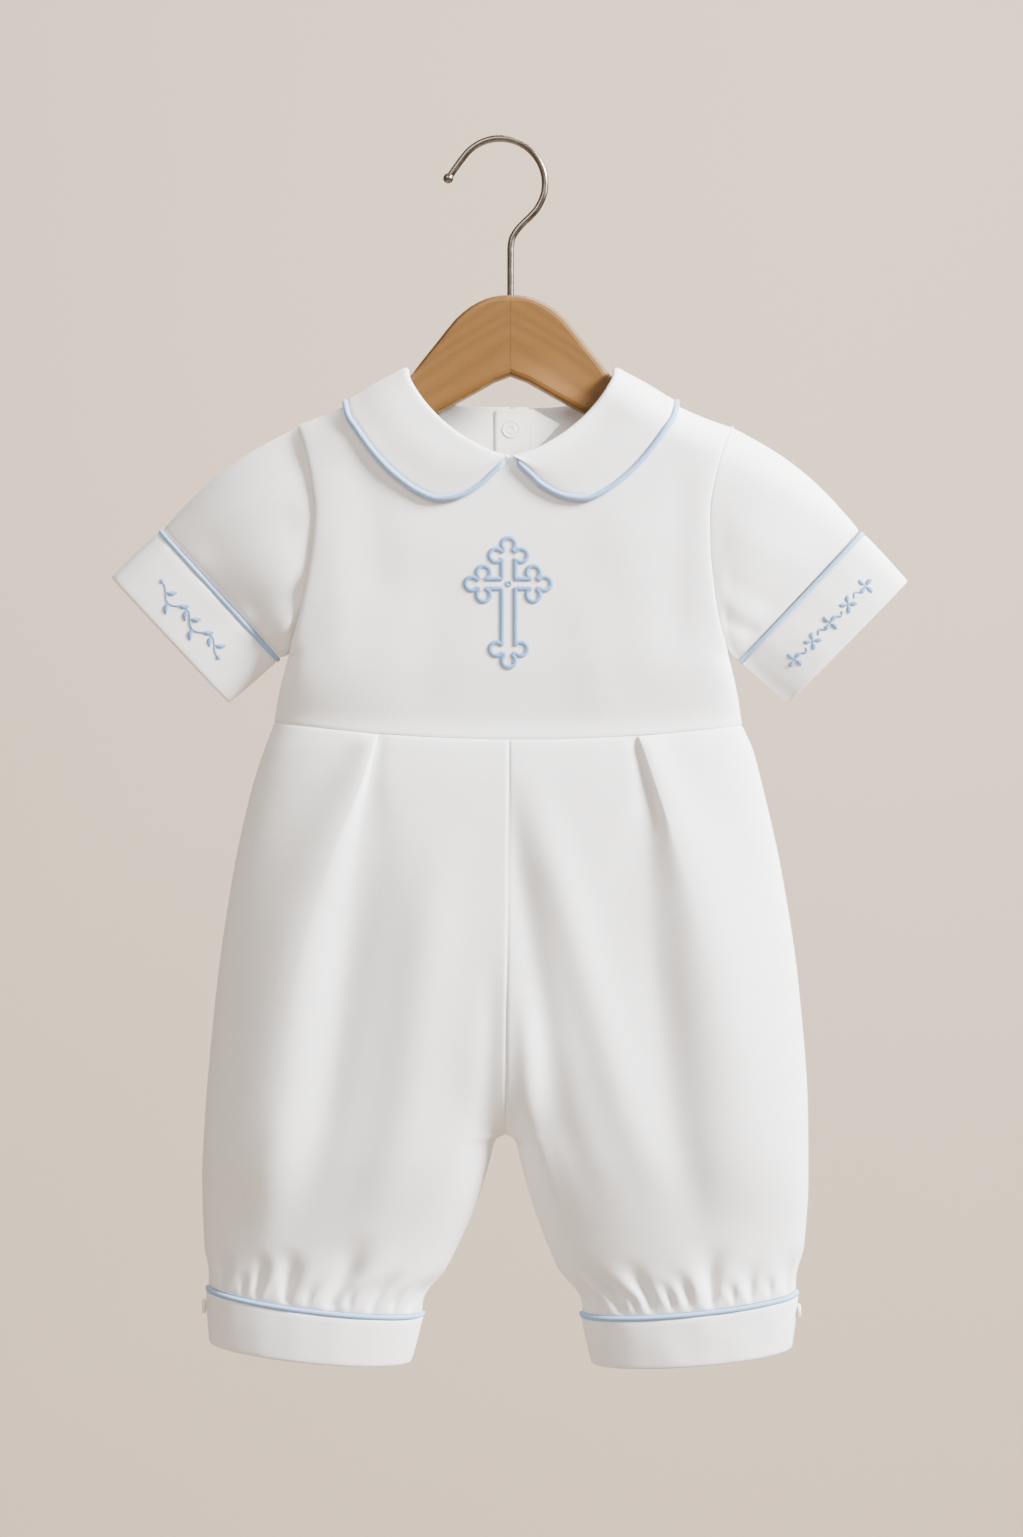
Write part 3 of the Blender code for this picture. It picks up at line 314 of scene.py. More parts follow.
def read(places, values, at):
    """A smooth curve through (place, value) pairs that never overshoots them."""
    places = np.asarray(places, float)
    values = np.asarray(values, float)
    if places[0] > places[-1]:
        places = places[::-1]
        values = values[::-1]
    at = np.clip(at, places[0], places[-1])
    runs = np.diff(places)
    slopes = np.diff(values) / runs
    before = slopes[:-1]
    after = slopes[1:]
    same_way = before * after > 0
    middle = np.where(same_way, 2 * before * after / np.where(same_way, before + after, 1.0), 0.0)
    tangents = np.concatenate([slopes[:1], middle, slopes[-1:]])
    index = np.clip(np.searchsorted(places, at, side="right") - 1, 0, len(runs) - 1)
    run = runs[index]
    t = (at - places[index]) / run
    start = values[index]
    end = values[index + 1]
    curve = (2 * t**3 - 3 * t**2 + 1) * start + (3 * t**2 - 2 * t**3) * end
    return curve + run * ((t**3 - 2 * t**2 + t) * tangents[index] + (t**3 - t**2) * tangents[index + 1])


def column(table, name, z):
    """One column of a table of heights, read at a height."""
    return read([row.z for row in table], [getattr(row, name) for row in table], z)


def edge_x(side, z):
    return column(OUTLINE, "right" if side == RIGHT else "left", z)


def span(z):
    """The middle and the half width of the outline at a height."""
    right, left = edge_x(RIGHT, z), edge_x(LEFT, z)
    return (left + right) / 2, (left - right) / 2


def half_depth(face, z):
    return column(OUTLINE, "front" if face == FRONT else "back", z)


def shoulder_z(x):
    return read([p.out for p in SHOULDER_LINE], [p.z for p in SHOULDER_LINE], np.abs(x - NECK_X))


def arch(ratio, power):
    """Height of a rounded profile at a place from 0 in its middle to 1 at its side."""
    return np.clip(1 - np.clip(np.abs(ratio), 0, 1) ** power, 0, 1) ** (1 / power)


def bump(at, middle, half_width):
    """A soft hump of height 1."""
    return np.exp(-(((at - middle) / half_width) ** 2))


def smooth(value):
    """0 to 1 with soft ends."""
    value = np.clip(value, 0, 1)
    return value * value * (3 - 2 * value)


def unit(vectors):
    return vectors / np.maximum(np.linalg.norm(vectors, axis=-1, keepdims=True), 1e-12)


def armhole_depth(z):
    """Half depth of the armhole: a rounded profile from the shoulder tip to the underarm."""
    share = np.clip((ARMHOLE_TOP_Z - z) / (ARMHOLE_TOP_Z - UNDERARM_Z), 0, 1)
    return ARMHOLE_DEPTH * arch(1 - 2 * share, ARMHOLE_POWER)


def over_shoulder(x, z):
    """Share of the full depth this far below the shoulder line, where the cloth rounds over it."""
    below = np.clip((shoulder_z(x) - z) / SHOULDER_ROUND, 0, 1)
    return np.sqrt(np.clip(1 - (1 - below) ** 2, 0, 1))


def bodice_y(face, x, z):
    """Depth of the bodice's outer surface."""
    middle, half = span(z)
    across = np.clip((x - middle) / half, -1, 1)
    lifts = np.linspace(-ARMHOLE_EASE, ARMHOLE_EASE, 9)
    eased = sum(armhole_depth(z + lift) for lift in lifts) / len(lifts)
    near_edge = np.clip((np.abs(across) - 0.9) / 0.1, 0, 1) ** 2
    edge = eased + (armhole_depth(z) - eased) * near_edge
    fuller = BODICE_FULLNESS * smooth((z - WAIST_Z) / FULLNESS_RISE)
    depth = edge + (half_depth(face, z) - edge) * arch(across, column(OUTLINE, "power", z) + fuller)
    return face * np.maximum(depth * over_shoulder(x, z), 0)


def neckline_z(face, x):
    drop, power = (NECK_FRONT_DROP, NECK_FRONT_POWER) if face == FRONT else (NECK_BACK_DROP, NECK_BACK_POWER)
    return NECK_SIDE_Z - drop * arch((x - NECK_X) / NECK_HALF_WIDTH, power)


def waist_z(across, face):
    """The waist seam, which dips towards its middle."""
    dip = WAIST_DIP if face == FRONT else WAIST_DIP / 2
    return WAIST_Z + WAIST_TILT * (across + 1) / 2 - dip * (1 - across**2)


def bodice_top_z(face, x):
    inside = np.abs(x - NECK_X) < NECK_HALF_WIDTH
    return np.where(inside, np.minimum(neckline_z(face, x) - COLLAR_EDGE_INSET, shoulder_z(x)), shoulder_z(x))


def bodice_folds(face, x, z):
    """Soft hollows and swells of the hanging bodice, in millimetres outwards."""
    moved = np.zeros_like(x)
    for fold in BODICE_FOLDS[face]:
        run_x = fold.low_x - fold.top_x
        run_z = fold.low_z - fold.top_z
        length = math.hypot(run_x, run_z)
        along = ((x - fold.top_x) * run_x + (z - fold.top_z) * run_z) / length**2
        off = ((x - fold.top_x) * run_z - (z - fold.top_z) * run_x) / length
        fade = smooth(4 * along) * smooth(4 * (1 - along))
        moved = moved + fold.height * fade * np.exp(-((off / fold.half_width) ** 2))
    return moved


def bodice(face):
    """The bodice's surface: across from -1 to 1 between its edges, up from 0 at the waist to 1."""

    def surface(across, up):
        low = waist_z(across, face)
        top = np.full_like(across, NECK_SIDE_Z)
        for _ in range(12):
            middle, half = span(top)
            top = 0.5 * top + 0.5 * bodice_top_z(face, middle + half * across)
        z = low + (top - low) * np.sin(up * math.pi / 2)
        middle, half = span(z)
        x = middle + half * across
        y = bodice_y(face, x, z) + face * bodice_folds(face, x, z) * (1 - across**4)
        return np.stack([x, y, z], axis=-1)

    return surface


def cuff_height(cuff):
    return math.hypot(cuff.low_outer_x - cuff.outer_x, cuff.low_outer_z - cuff.outer_z)


def ring_point(cuff, angle, low, front, back, power, bow, inset=0.0):
    """A point of a flattened ring: angle 0 at the outer side, pi at the inner side, the front in between.
    low runs from 0 on the top edge to 1 on the bottom edge."""
    outer, inner, low_outer, low_inner = (np.array([x, 0, z]) for x, z in zip(cuff[::2], cuff[1::2]))
    low = np.asarray(low, float)[..., None]
    start = outer + (low_outer - outer) * low
    end = inner + (low_inner - inner) * low
    cos = np.cos(angle)
    sin = np.sin(angle)
    across = np.sign(cos) * np.abs(cos) ** (2 / power)
    depth = np.sign(sin) * np.abs(sin) ** (2 / power)
    half = (end - start) / 2
    length = np.linalg.norm(half, axis=-1, keepdims=True)
    half = half * (1 - inset / length)
    middle = (start + end) / 2
    point = middle - half * across[..., None]
    point[..., 1] -= depth * (np.where(depth > 0, front, back) - inset)
    down = unit((low_outer + low_inner - outer - inner) / 2)
    return point + down * bow * np.abs(sin)[..., None]


def inner_x(side, z):
    """The centre seam down to the crotch, then the leg's inner edge."""
    share = (z - WAIST_Z) / (CROTCH_Z - WAIST_Z)
    seam = CENTRE_TOP_X + (CENTRE_LOW_X - CENTRE_TOP_X) * share
    return np.where(z >= CROTCH_Z, seam, column(INNER_EDGES, "right" if side == RIGHT else "left", z))


def eased_inner_x(side, z):
    """The inner edge softened over the crotch, for the cloth away from the edge."""
    lifts = np.linspace(-CROTCH_EASE, CROTCH_EASE, 29)[1:-1]
    weights = 1 + np.cos(math.pi * lifts / CROTCH_EASE)
    return sum(weight * inner_x(side, z + lift) for weight, lift in zip(weights, lifts)) / weights.sum()


def leg(side, face):
    """A trouser panel's surface: share across from 0 at the side seam to 1 at the centre or inner edge,
    down from 0 at the waist to 1 at the crotch and 2 at the leg cuff."""
    cuff = LEG_CUFFS[side]
    cuff_depth = LEG_CUFF_FRONT if face == FRONT else LEG_CUFF_BACK

    def surface(share, down):
        top = waist_z(side * (1 - share), face)
        angle = np.arccos(np.clip(1 - 2 * share, -1, 1))
        low_point = ring_point(cuff, angle, np.zeros_like(share), cuff_depth, cuff_depth, LEG_CUFF_POWER,
                               LEG_CUFF_BOW, inset=LEG_INSET)
        bottom = low_point[..., 2]
        upper = np.clip(down, 0, 1)
        lower = np.clip(down - 1, 0, 1)
        z = top + (CROTCH_Z - top) * upper + (bottom - CROTCH_Z) * lower
        outer = edge_x(side, z)
        inner = inner_x(side, z)
        eased_inner = eased_inner_x(side, z)
        near_inner = np.clip((share - NEAR_INNER) / (1 - NEAR_INNER), 0, 1) ** 2
        x = outer + (eased_inner - outer) * share + (inner - eased_inner) * near_inner
        power = column(OUTLINE, "power", z)
        width = np.abs(eased_inner - outer)
        to_leg = np.clip((z - WAIST_Z) / (CROTCH_Z - CROTCH_ROUND - WAIST_Z), 0, 1)
        outer_round = width * (1 - 0.5 * to_leg**2 * (3 - 2 * to_leg))
        above_crotch = np.maximum(z - CROTCH_Z, 0)
        from_inner = np.hypot(width * (1 - share), above_crotch)
        inner_round = np.where(z > CROTCH_Z, CROTCH_ROUND, np.minimum(width / 2, CROTCH_ROUND))
        profile = arch(np.maximum(1 - width * share / outer_round, 0), power)
        profile = profile * arch(np.maximum(1 - from_inner / inner_round, 0), power)
        depth = half_depth(face, z) * profile
        x = x + (low_point[..., 0] - x) * smooth((lower - EDGE_SETTLE) / (1 - EDGE_SETTLE))
        settle = smooth((lower - DEPTH_SETTLE) / (1 - DEPTH_SETTLE))
        depth = depth + (np.abs(low_point[..., 1]) - depth) * settle
        above_cuff = np.maximum(z - bottom, 0)
        below_waist = np.maximum(top - z, 0)
        moved = leg_folds(side, face, share, width, z, above_cuff, below_waist)
        depth = depth + moved * np.clip(profile / 0.5, 0, 1)
        return np.stack([x, face * np.maximum(depth, 0), z], axis=-1)

    return surface


def leg_folds(side, face, share, width, z, above_cuff, below_waist):
    """How far the trouser cloth stands out at its gathers, its long folds and its waist pleat."""
    settings = bpy.context.scene.romper_cloth
    moved = np.zeros_like(share)
    for gather in GATHERS[side]:
        place = gather.share if face == FRONT else 1 - gather.share
        climb = np.clip(above_cuff / gather.rise, 0, 1)
        middle = place + gather.lean * climb / width
        spread = gather.half_width * (0.55 + 1.7 * climb) / width
        fade = smooth(above_cuff / 3.0) * smooth((1 - climb) * 1.4) * (0.5 + 0.5 * smooth(climb * 2.0))
        moved = moved - gather.depth * fade * bump(share, middle, spread)
        crest = middle + 2.1 * spread
        moved = moved + 0.3 * gather.depth * fade * bump(share, crest, 1.2 * spread)
    moved = moved * settings.gather_strength
    for fold in LONG_FOLDS[side * -face]:
        down = np.clip((fold.top_z - z) / (fold.top_z - fold.low_z), 0, 1)
        middle = fold.top_share + (fold.low_share - fold.top_share) * down
        fade = smooth(down * 3.2) * smooth((1 - down) * 2.8)
        moved = moved + settings.fold_strength * fold.height * fade * bump(share, middle, fold.half_width)
    lip = leg_pleat(side, below_waist)
    off = (share - lip["share"]) * width
    outer_side = bump(np.minimum(off, 0), 0.0, lip["outer"])
    inner_side = 1 - smooth(off / lip["inner"])
    hollow = bump(off, 1.25 * lip["inner"] + 1.0, 0.75 * lip["inner"] + 3.0)
    pleat = lip["height"] * (np.where(off < 0, outer_side, inner_side) - 0.35 * hollow)
    return moved + settings.pleat_strength * pleat


def leg_pleat(side, below_waist):
    """The waist pleat's place and sizes at a distance below the waist seam."""
    points = PLEATS[side]
    below = [point.below for point in points]
    return {name: read(below, [getattr(point, name) for point in points], below_waist)
            for name in ("share", "height", "inner", "outer")}


def sleeve(side):
    """A sleeve's surface: angle round it from 0 at its top, and along from 0 at the armhole to 1."""
    cuff = SLEEVE_CUFFS[side]

    def surface(angle, along):
        share = (1 - np.cos(angle)) / 2
        sin = np.sin(angle)
        z = ARMHOLE_TOP_Z + (UNDERARM_Z - ARMHOLE_TOP_Z) * share
        x = edge_x(side, z)
        depth = armhole_depth(z) * over_shoulder(x, z)
        start = np.stack([x, -np.sign(sin) * depth, z], axis=-1)
        end = ring_point(cuff, angle, np.zeros_like(along), *SLEEVE_RING, inset=LEG_INSET / 2)
        point = start + (end - start) * along[..., None]
        swell = np.sin(math.pi * along)
        point[..., 1] -= SLEEVE_PUFF * swell * sin
        point[..., 2] += SLEEVE_BULGE * swell * (1 - share) ** 2
        point[..., 0] += side * SLEEVE_BULGE * 0.6 * swell * (1 - share) ** 2
        moved = np.zeros_like(share)
        for fold in SLEEVE_FOLDS[side]:
            path = fold.start + (fold.end - fold.start) * along
            fade = smooth((along - fold.begin) / 0.2) * smooth((1.02 - along) / 0.25)
            moved = moved + fold.height * fade * bump(share, path, fold.half_width)
        point[..., 1] -= np.sign(sin) * moved * smooth(np.abs(sin) * 1.8)
        return point

    return surface


def collar_path(edge, face):
    """The collar's edge as distance out and turn over the shoulder: 0 on the shoulder line,
    a quarter turn where the cloth hangs straight, and on in the same measure."""
    out = np.array([p[0] for p in edge])
    z = np.array([p[1] for p in edge])
    below = np.maximum(shoulder_z(NECK_X + out) - z, 0) / SHOULDER_ROUND
    turn = np.where(below < 1, np.arccos(np.clip(1 - below, -1, 1)), math.pi / 2 + below - 1)
    return out, face * turn


def collar_edges():
    """Both edges of the collar from centre front over the shoulder to centre back."""
    places = np.linspace(0, 1, len(COLLAR_FRONT_EDGE))
    front_neck = []
    back_neck = []
    for share in places:
        angle = share * math.pi / 2
        out = NECK_HALF_WIDTH * math.sin(angle) ** (2 / NECK_FRONT_POWER)
        front_neck.append((max(out, 0.8), float(neckline_z(FRONT, NECK_X + out))))
        out = NECK_HALF_WIDTH * math.cos(angle) ** (2 / NECK_BACK_POWER)
        back_neck.append((max(out, 0.8), float(neckline_z(BACK, NECK_X + out))))
    front_neck[-1] = (NECK_HALF_WIDTH, float(shoulder_z(NECK_X + NECK_HALF_WIDTH)))
    back_neck[0] = front_neck[-1]
    inner_front = collar_path(front_neck, FRONT)
    inner_back = collar_path(back_neck, BACK)
    outer_front = collar_path(COLLAR_FRONT_EDGE, FRONT)
    outer_back = collar_path(COLLAR_BACK_EDGE, BACK)
    inner = [np.concatenate([front, back[1:]]) for front, back in zip(inner_front, inner_back)]
    outer = [np.concatenate([front, back[1:]]) for front, back in zip(outer_front, outer_back)]
    inner[1][len(places) - 1] = 0.0
    outer[1][len(places) - 1] = 0.0
    return inner, outer


def shoulder_point(x, turn):
    """A point of the bodice's outer surface by distance across and turn over the shoulder."""
    folded = np.clip(np.abs(turn), 0, math.pi / 2)
    z = shoulder_z(x) - SHOULDER_ROUND * (1 - np.cos(folded)) - SHOULDER_ROUND * (np.abs(turn) - folded)
    y = np.where(turn < 0, bodice_y(FRONT, x, z), bodice_y(BACK, x, z))
    return np.stack([x, np.where(np.abs(turn) < 1e-6, 0.0, y), z], axis=-1)


def collar(side):
    """A collar piece laid on the bodice: along from 0 at centre front to 2 at centre back,
    out from 0 at the neck fold to 1 at its edge."""
    inner, outer = collar_edges()
    stations = np.linspace(0, 2, len(inner[0]))

    def surface(along, out):
        x = (1 - out) * read(stations, inner[0], along) + out * read(stations, outer[0], along)
        turn = (1 - out) * read(stations, inner[1], along) + out * read(stations, outer[1], along)
        return shoulder_point(NECK_X + side * x, turn)

    return surface


def normals_of(surface, a, b, turning=False):
    """Unit normals of a surface, turned to point out of the garment."""
    step = 1e-3
    if turning:
        a0, a1 = a - step, a + step
    else:
        a0, a1 = np.maximum(a - step, a.min()), np.minimum(a + step, a.max())
    b0, b1 = np.maximum(b - step, b.min()), np.minimum(b + step, b.max())
    return unit(np.cross(surface(a1, b) - surface(a0, b), surface(a, b1) - surface(a, b0)))


def facing(normals, outward):
    """The normals, all turned round when they point into the garment."""
    return -normals if (normals * outward).sum() < 0 else normals


# Columns and rows of the grids of cloth
BODICE_ROWS = 84
COLLAR_COLUMNS = 50
COLLAR_ROWS = 30
SLEEVE_COLUMNS = 108
SLEEVE_ROWS = 46
SLEEVE_CUFF_COLUMNS = 96
LEG_CUFF_COLUMNS = 120
LEG_COLUMNS = 140
PLEAT_COLUMNS = 24
UPPER_LEG_ROWS = 86
LOWER_LEG_ROWS = 74


def crowded(count, extra, last=1.0):
    """Even steps from 0 to the last, with a few closer ones at both ends, where a seam rolls in."""
    steps = np.linspace(0, 1, count)
    low = np.array(extra)
    inside = steps[(steps > 1.6 * extra[-1]) & (steps < 1 - 1.6 * extra[-1])]
    steps = np.concatenate([[0], low, inside, 1 - low[::-1], [1]])
    return last * steps


def run_lengths(points, axis):
    """Distance of each point from the first one along an axis of a grid."""
    steps = np.linalg.norm(np.diff(points, axis=axis), axis=-1)
    start = np.zeros_like(np.take(steps, [0], axis=axis))
    return np.concatenate([start, np.cumsum(steps, axis=axis)], axis=axis)


def roll_in(points, normals, sides, depth=0.45, width=0.9):
    """Rolls the named edges of a grid inwards, as cloth does at a seam: first and last column, first and
    last row."""
    across = run_lengths(points, 1)
    down = run_lengths(points, 0)
    distances = {
        "first_column": across,
        "last_column": across[:, -1:] - across,
        "first_row": down,
        "last_row": down[-1:] - down,
    }
    tuck = np.zeros(points.shape[:2])
    for name in sides:
        tuck = np.maximum(tuck, np.exp(-((distances[name] / width) ** 2)))
    return points - depth * tuck[..., None] * normals


def keep(obj, finish, node=None):
    """Puts a new piece in the scene with its material, on its body and in its node's place."""
    bpy.context.scene.collection.objects.link(obj)
    obj.data.materials.append(finish_of(finish))
    if node:
        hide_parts(node)
    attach(obj, "root")
    return obj


def grid_corners(rows, columns):
    """The four corners of each cell of a grid of points, as rows and columns."""
    row, place = np.meshgrid(np.arange(rows - 1), np.arange(columns - 1), indexing="ij")
    return [(row, place), (row, place + 1), (row + 1, place + 1), (row + 1, place)]


def woven_mesh(name, verts, faces, uv):
    """A smooth mesh in metres with the weave's coordinates at the corners of its faces."""
    mesh = bpy.data.meshes.new(name)
    mesh.from_pydata((verts.reshape(-1, 3) * MM).tolist(), [], faces)
    mesh.uv_layers.new(name="weave").data.foreach_set("uv", uv.reshape(-1))
    mesh.shade_smooth()
    return mesh


def cloth(name, points, outward, closed=False, thickness=None):
    """A thin shell of cloth on a grid of points in millimetres, with its weave's coordinates in metres.
    A closed one repeats its first column at its end."""
    rows, columns = points.shape[:2]
    wrap = columns - 1 if closed else columns
    corners = grid_corners(rows, columns)
    diagonals = np.cross(points[1:, 1:] - points[:-1, :-1], points[1:, :-1] - points[:-1, 1:])
    if (diagonals * outward[:-1, :-1]).sum() < 0:
        corners = corners[::-1]
    quads = np.stack([(r * wrap + c % wrap).ravel() for r, c in corners], axis=1)
    across = run_lengths(points, 1)
    across = across - across[:, columns // 2][:, None]
    along = run_lengths(points, 0)
    weave = np.stack([across, along], axis=-1) * MM
    uv = np.stack([weave[r.ravel(), c.ravel()] for r, c in corners], axis=1)
    obj = bpy.data.objects.new(name, woven_mesh(name, points[:, :wrap], quads.tolist(), uv))
    if thickness:
        shell = obj.modifiers.new("cloth thickness", "SOLIDIFY")
        shell.thickness = thickness
        shell.offset = -1
    return obj


def rope(name, route, radius, twist, cyclic=False, sides=10, thickness_at=None):
    """A cord of cloth or wire along a route in millimetres. Its coordinates run along it and round it."""
    route = np.asarray(route, float)
    if cyclic:
        route = np.concatenate([route, route[:1]])
        tangents = unit(np.roll(route[:-1], -1, axis=0) - np.roll(route[:-1], 1, axis=0))
        tangents = np.concatenate([tangents, tangents[:1]])
    else:
        tangents = unit(np.gradient(route, axis=0))
    first = np.array([0.0, 1.0, 0.0]) if abs(tangents[0][1]) < 0.9 else np.array([0.0, 0.0, 1.0])
    frames = []
    side = unit(first - np.dot(first, tangents[0]) * tangents[0])
    for tangent in tangents:
        side = unit(side - np.dot(side, tangent) * tangent)
        frames.append(side)
    frames = np.array(frames)
    if cyclic:
        last = math.atan2(np.dot(np.cross(frames[-1], frames[0]), tangents[0]), np.dot(frames[-1], frames[0]))
        turn = np.linspace(0, last, len(route))[:, None]
        frames = frames * np.cos(turn) + np.cross(tangents, frames) * np.sin(turn)
    other = np.cross(tangents, frames)
    angles = np.linspace(0, 2 * math.pi, sides + 1)[:, None, None]
    size = radius * (np.ones(len(route)) if thickness_at is None else np.asarray(thickness_at))
    ring = np.cos(angles) * frames + np.sin(angles) * other
    points = route + ring * size[None, :, None]
    count = len(route)
    wrap = count - 1 if cyclic else count
    corners = grid_corners(sides + 1, count)
    quads = np.stack([((r % sides) * wrap + c % wrap).ravel() for r, c in corners], axis=1).tolist()
    length = run_lengths(route[None], 1)[0]
    uv = np.stack([np.stack([length[c.ravel()] * MM, r.ravel() / sides * twist], axis=-1)
                   for r, c in corners], axis=1)
    if not cyclic:
        caps = [[r * wrap for r in range(sides)], [r * wrap + wrap - 1 for r in range(sides)][::-1]]
        quads += caps
        uv = np.concatenate([uv.reshape(-1, 2), np.zeros((2 * sides, 2))])
    mesh = woven_mesh(name, points[:-1, :wrap], quads, uv)
    shape = bmesh.new()
    shape.from_mesh(mesh)
    bmesh.ops.recalc_face_normals(shape, faces=shape.faces[:])
    shape.to_mesh(mesh)
    shape.free()
    mesh.shade_smooth()
    if not cyclic:
        mesh.set_sharp_from_angle(angle=math.radians(60))
    return bpy.data.objects.new(name, mesh)


class Nodes:
    """Makes shader nodes in a few words. Sockets take a value or another node's output."""

    def __init__(self, name):
        self.material = bpy.data.materials.new(name)
        self.material.use_nodes = True
        self.tree = self.material.node_tree
        self.shader = self.tree.nodes["Principled BSDF"]

    def put(self, socket, value):
        if hasattr(value, "is_linked"):
            self.tree.links.new(value, socket)
        else:
            socket.default_value = value

    def node(self, kind, output=0, settings=None, **inputs):
        made = self.tree.nodes.new(kind)
        for key, value in (settings or {}).items():
            setattr(made, key, value)
        for key, value in inputs.items():
            place = int(key[1:]) if key[0] == "_" else key.replace("_", " ")
            self.put(made.inputs[place], value)
        return made.outputs[output]

    def maths(self, operation, a, b=0.0):
        return self.node("ShaderNodeMath", settings={"operation": operation}, _0=a, _1=b)

    def blend(self, factor, first, second):
        made = self.tree.nodes.new("ShaderNodeMix")
        made.data_type = "RGBA"
        for name, value in (("Factor", factor), ("A", first), ("B", second)):
            socket = [s for s in made.inputs if s.name == name and s.enabled][0]
            self.put(socket, value)
        return [s for s in made.outputs if s.enabled][0]

    def times(self, a, b):
        return self.maths("MULTIPLY", a, b)

    def plus(self, a, b):
        return self.maths("ADD", a, b)

    def weave(self):
        """The coordinates of the cloth's weave, in metres."""
        return self.node("ShaderNodeUVMap", settings={"uv_map": "weave"})

    def position(self):
        return self.node("ShaderNodeTexCoord", 3)

    def parts(self, vector):
        self.node("ShaderNodeSeparateXYZ", Vector=vector)
        return self.tree.nodes[-1].outputs

    def noise(self, vector, scale, detail=2.0, roughness=0.5):
        return self.node("ShaderNodeTexNoise", Vector=vector, Scale=scale, Detail=detail, Roughness=roughness)

    def streaks(self, vector, scale, detail, roughness=0.5):
        """Noise drawn out by a scale for each axis."""
        return self.noise(self.node("ShaderNodeMapping", Vector=vector, Scale=scale), 1.0, detail, roughness)

    def relief(self, strength, height, distance=0.0001):
        return self.node("ShaderNodeBump", Strength=strength, Distance=distance, Height=height)

    def spread(self, value, low, high, new_low=0.0, new_high=1.0):
        return self.node("ShaderNodeMapRange", _0=value, _1=low, _2=high, _3=new_low, _4=new_high)

    def finish(self, **inputs):
        for key, value in inputs.items():
            self.put(self.shader.inputs[key.replace("_", " ")], value)
        return self.material


def rgb(colour, share=1.0):
    return (*(min(1.0, share * c) for c in colour[:3]), 1.0)


def cloth_material(name, colour, pitch, relief, sheen, twill=0.0):
    """Woven cloth: fine warp and weft by the weave's own coordinates, uneven thread and soft sheen."""
    n = Nodes(name)
    uv = n.weave()
    across, along, _ = n.parts(uv)
    thread = 2 * math.pi / pitch
    warp = n.maths("SINE", n.times(n.plus(across, n.times(along, twill)), thread))
    weft = n.maths("SINE", n.times(along, thread))
    slub = n.streaks(uv, (900.0, 120.0, 1.0), 2.0)
    broad = n.noise(n.position(), 14.0, 3.0)
    bumped = n.relief(relief, n.plus(n.times(n.times(warp, weft), 0.5), n.times(slub, 0.7)), 0.00012)
    shade = n.plus(n.times(broad, 0.5), n.times(slub, 0.5))
    tint = n.blend(n.spread(shade, 0.3, 0.7), rgb(colour, 0.93), rgb(colour))
    rough = n.spread(slub, 0.3, 0.7, 0.62, 0.78)
    return n.finish(Base_Color=tint, Roughness=rough, Normal=bumped, Sheen_Weight=sheen, Sheen_Roughness=0.4,
                    Specular_IOR_Level=0.3)


def finishes():
    """Every material of the romper, made once."""
    settings = bpy.context.scene.romper_cloth
    return {
        "white_weave": cloth_material("white_weave", settings.cloth_colour, settings.thread_pitch,
                                      relief=0.25, sheen=0.25),
        "blue_satin": cloth_material("blue_satin", settings.piping_colour, SATIN_PITCH,
                                     relief=0.45, sheen=0.5, twill=0.9),
        "blue_thread": thread_material("blue_thread", settings.thread_colour),
        "beech_grain": wood_material("beech_grain", settings.wood_colour),
        "brushed_nickel": nickel_material("brushed_nickel"),
        "pearl": pearl_material("pearl"),
    }


def thread_material(name, colour):
    """Embroidery thread: a soft shine along its strands."""
    n = Nodes(name)
    strands = n.streaks(n.weave(), (400.0, 6.0, 1.0), 1.0)
    broad = n.noise(n.position(), 60.0, 2.0)
    shade = n.plus(n.times(broad, 0.5), n.times(strands, 0.5))
    tint = n.blend(n.spread(shade, 0.3, 0.7), rgb(colour, 0.86), rgb(colour, 1.12))
    return n.finish(Base_Color=tint, Roughness=n.spread(strands, 0.3, 0.7, 0.34, 0.5),
                    Normal=n.relief(0.3, strands), Sheen_Weight=0.3, Specular_IOR_Level=0.5)


def wood_material(name, colour):
    """Beech with its grain along each arm, meeting in a mitre on the middle line."""
    n = Nodes(name)
    x, y, z = n.parts(n.position())
    out = n.maths("ABSOLUTE", n.maths("SUBTRACT", x, STEM_X * MM))
    cos, sin = math.cos(ARM_SLOPE), math.sin(ARM_SLOPE)
    along = n.maths("SUBTRACT", n.times(out, cos), n.times(z, sin))
    off = n.plus(n.times(out, sin), n.times(z, cos))
    arm = n.node("ShaderNodeCombineXYZ", _0=along, _1=off, _2=y)
    sway = n.streaks(arm, (10.0, 40.0, 30.0), 2.0)
    rings = n.plus(n.times(off, 420.0), n.times(sway, 9.0))
    bands = n.spread(n.maths("SINE", n.times(rings, 2.2)), -1.0, 1.0)
    fibres = n.streaks(arm, (70.0, 1900.0, 1500.0), 3.0, 0.6)
    flecks = n.spread(n.streaks(arm, (220.0, 1500.0, 900.0), 1.0), 0.62, 0.75)
    mixed = n.plus(n.times(bands, 0.4), n.times(fibres, 0.6))
    tint = n.blend(n.spread(mixed, 0.2, 0.85), rgb(colour, 0.84), rgb(colour, 1.06))
    tint = n.blend(n.times(flecks, 0.35), tint, rgb(colour, 0.5))
    mitre = n.spread(out, 0.0, 0.0005, 1.0, 0.0)
    tint = n.blend(n.times(mitre, 0.5), tint, rgb(colour, 0.35))
    return n.finish(Base_Color=tint, Roughness=n.spread(fibres, 0.3, 0.7, 0.36, 0.52),
                    Normal=n.relief(0.25, fibres), Specular_IOR_Level=0.3,
                    Coat_Weight=0.06, Coat_Roughness=0.3)


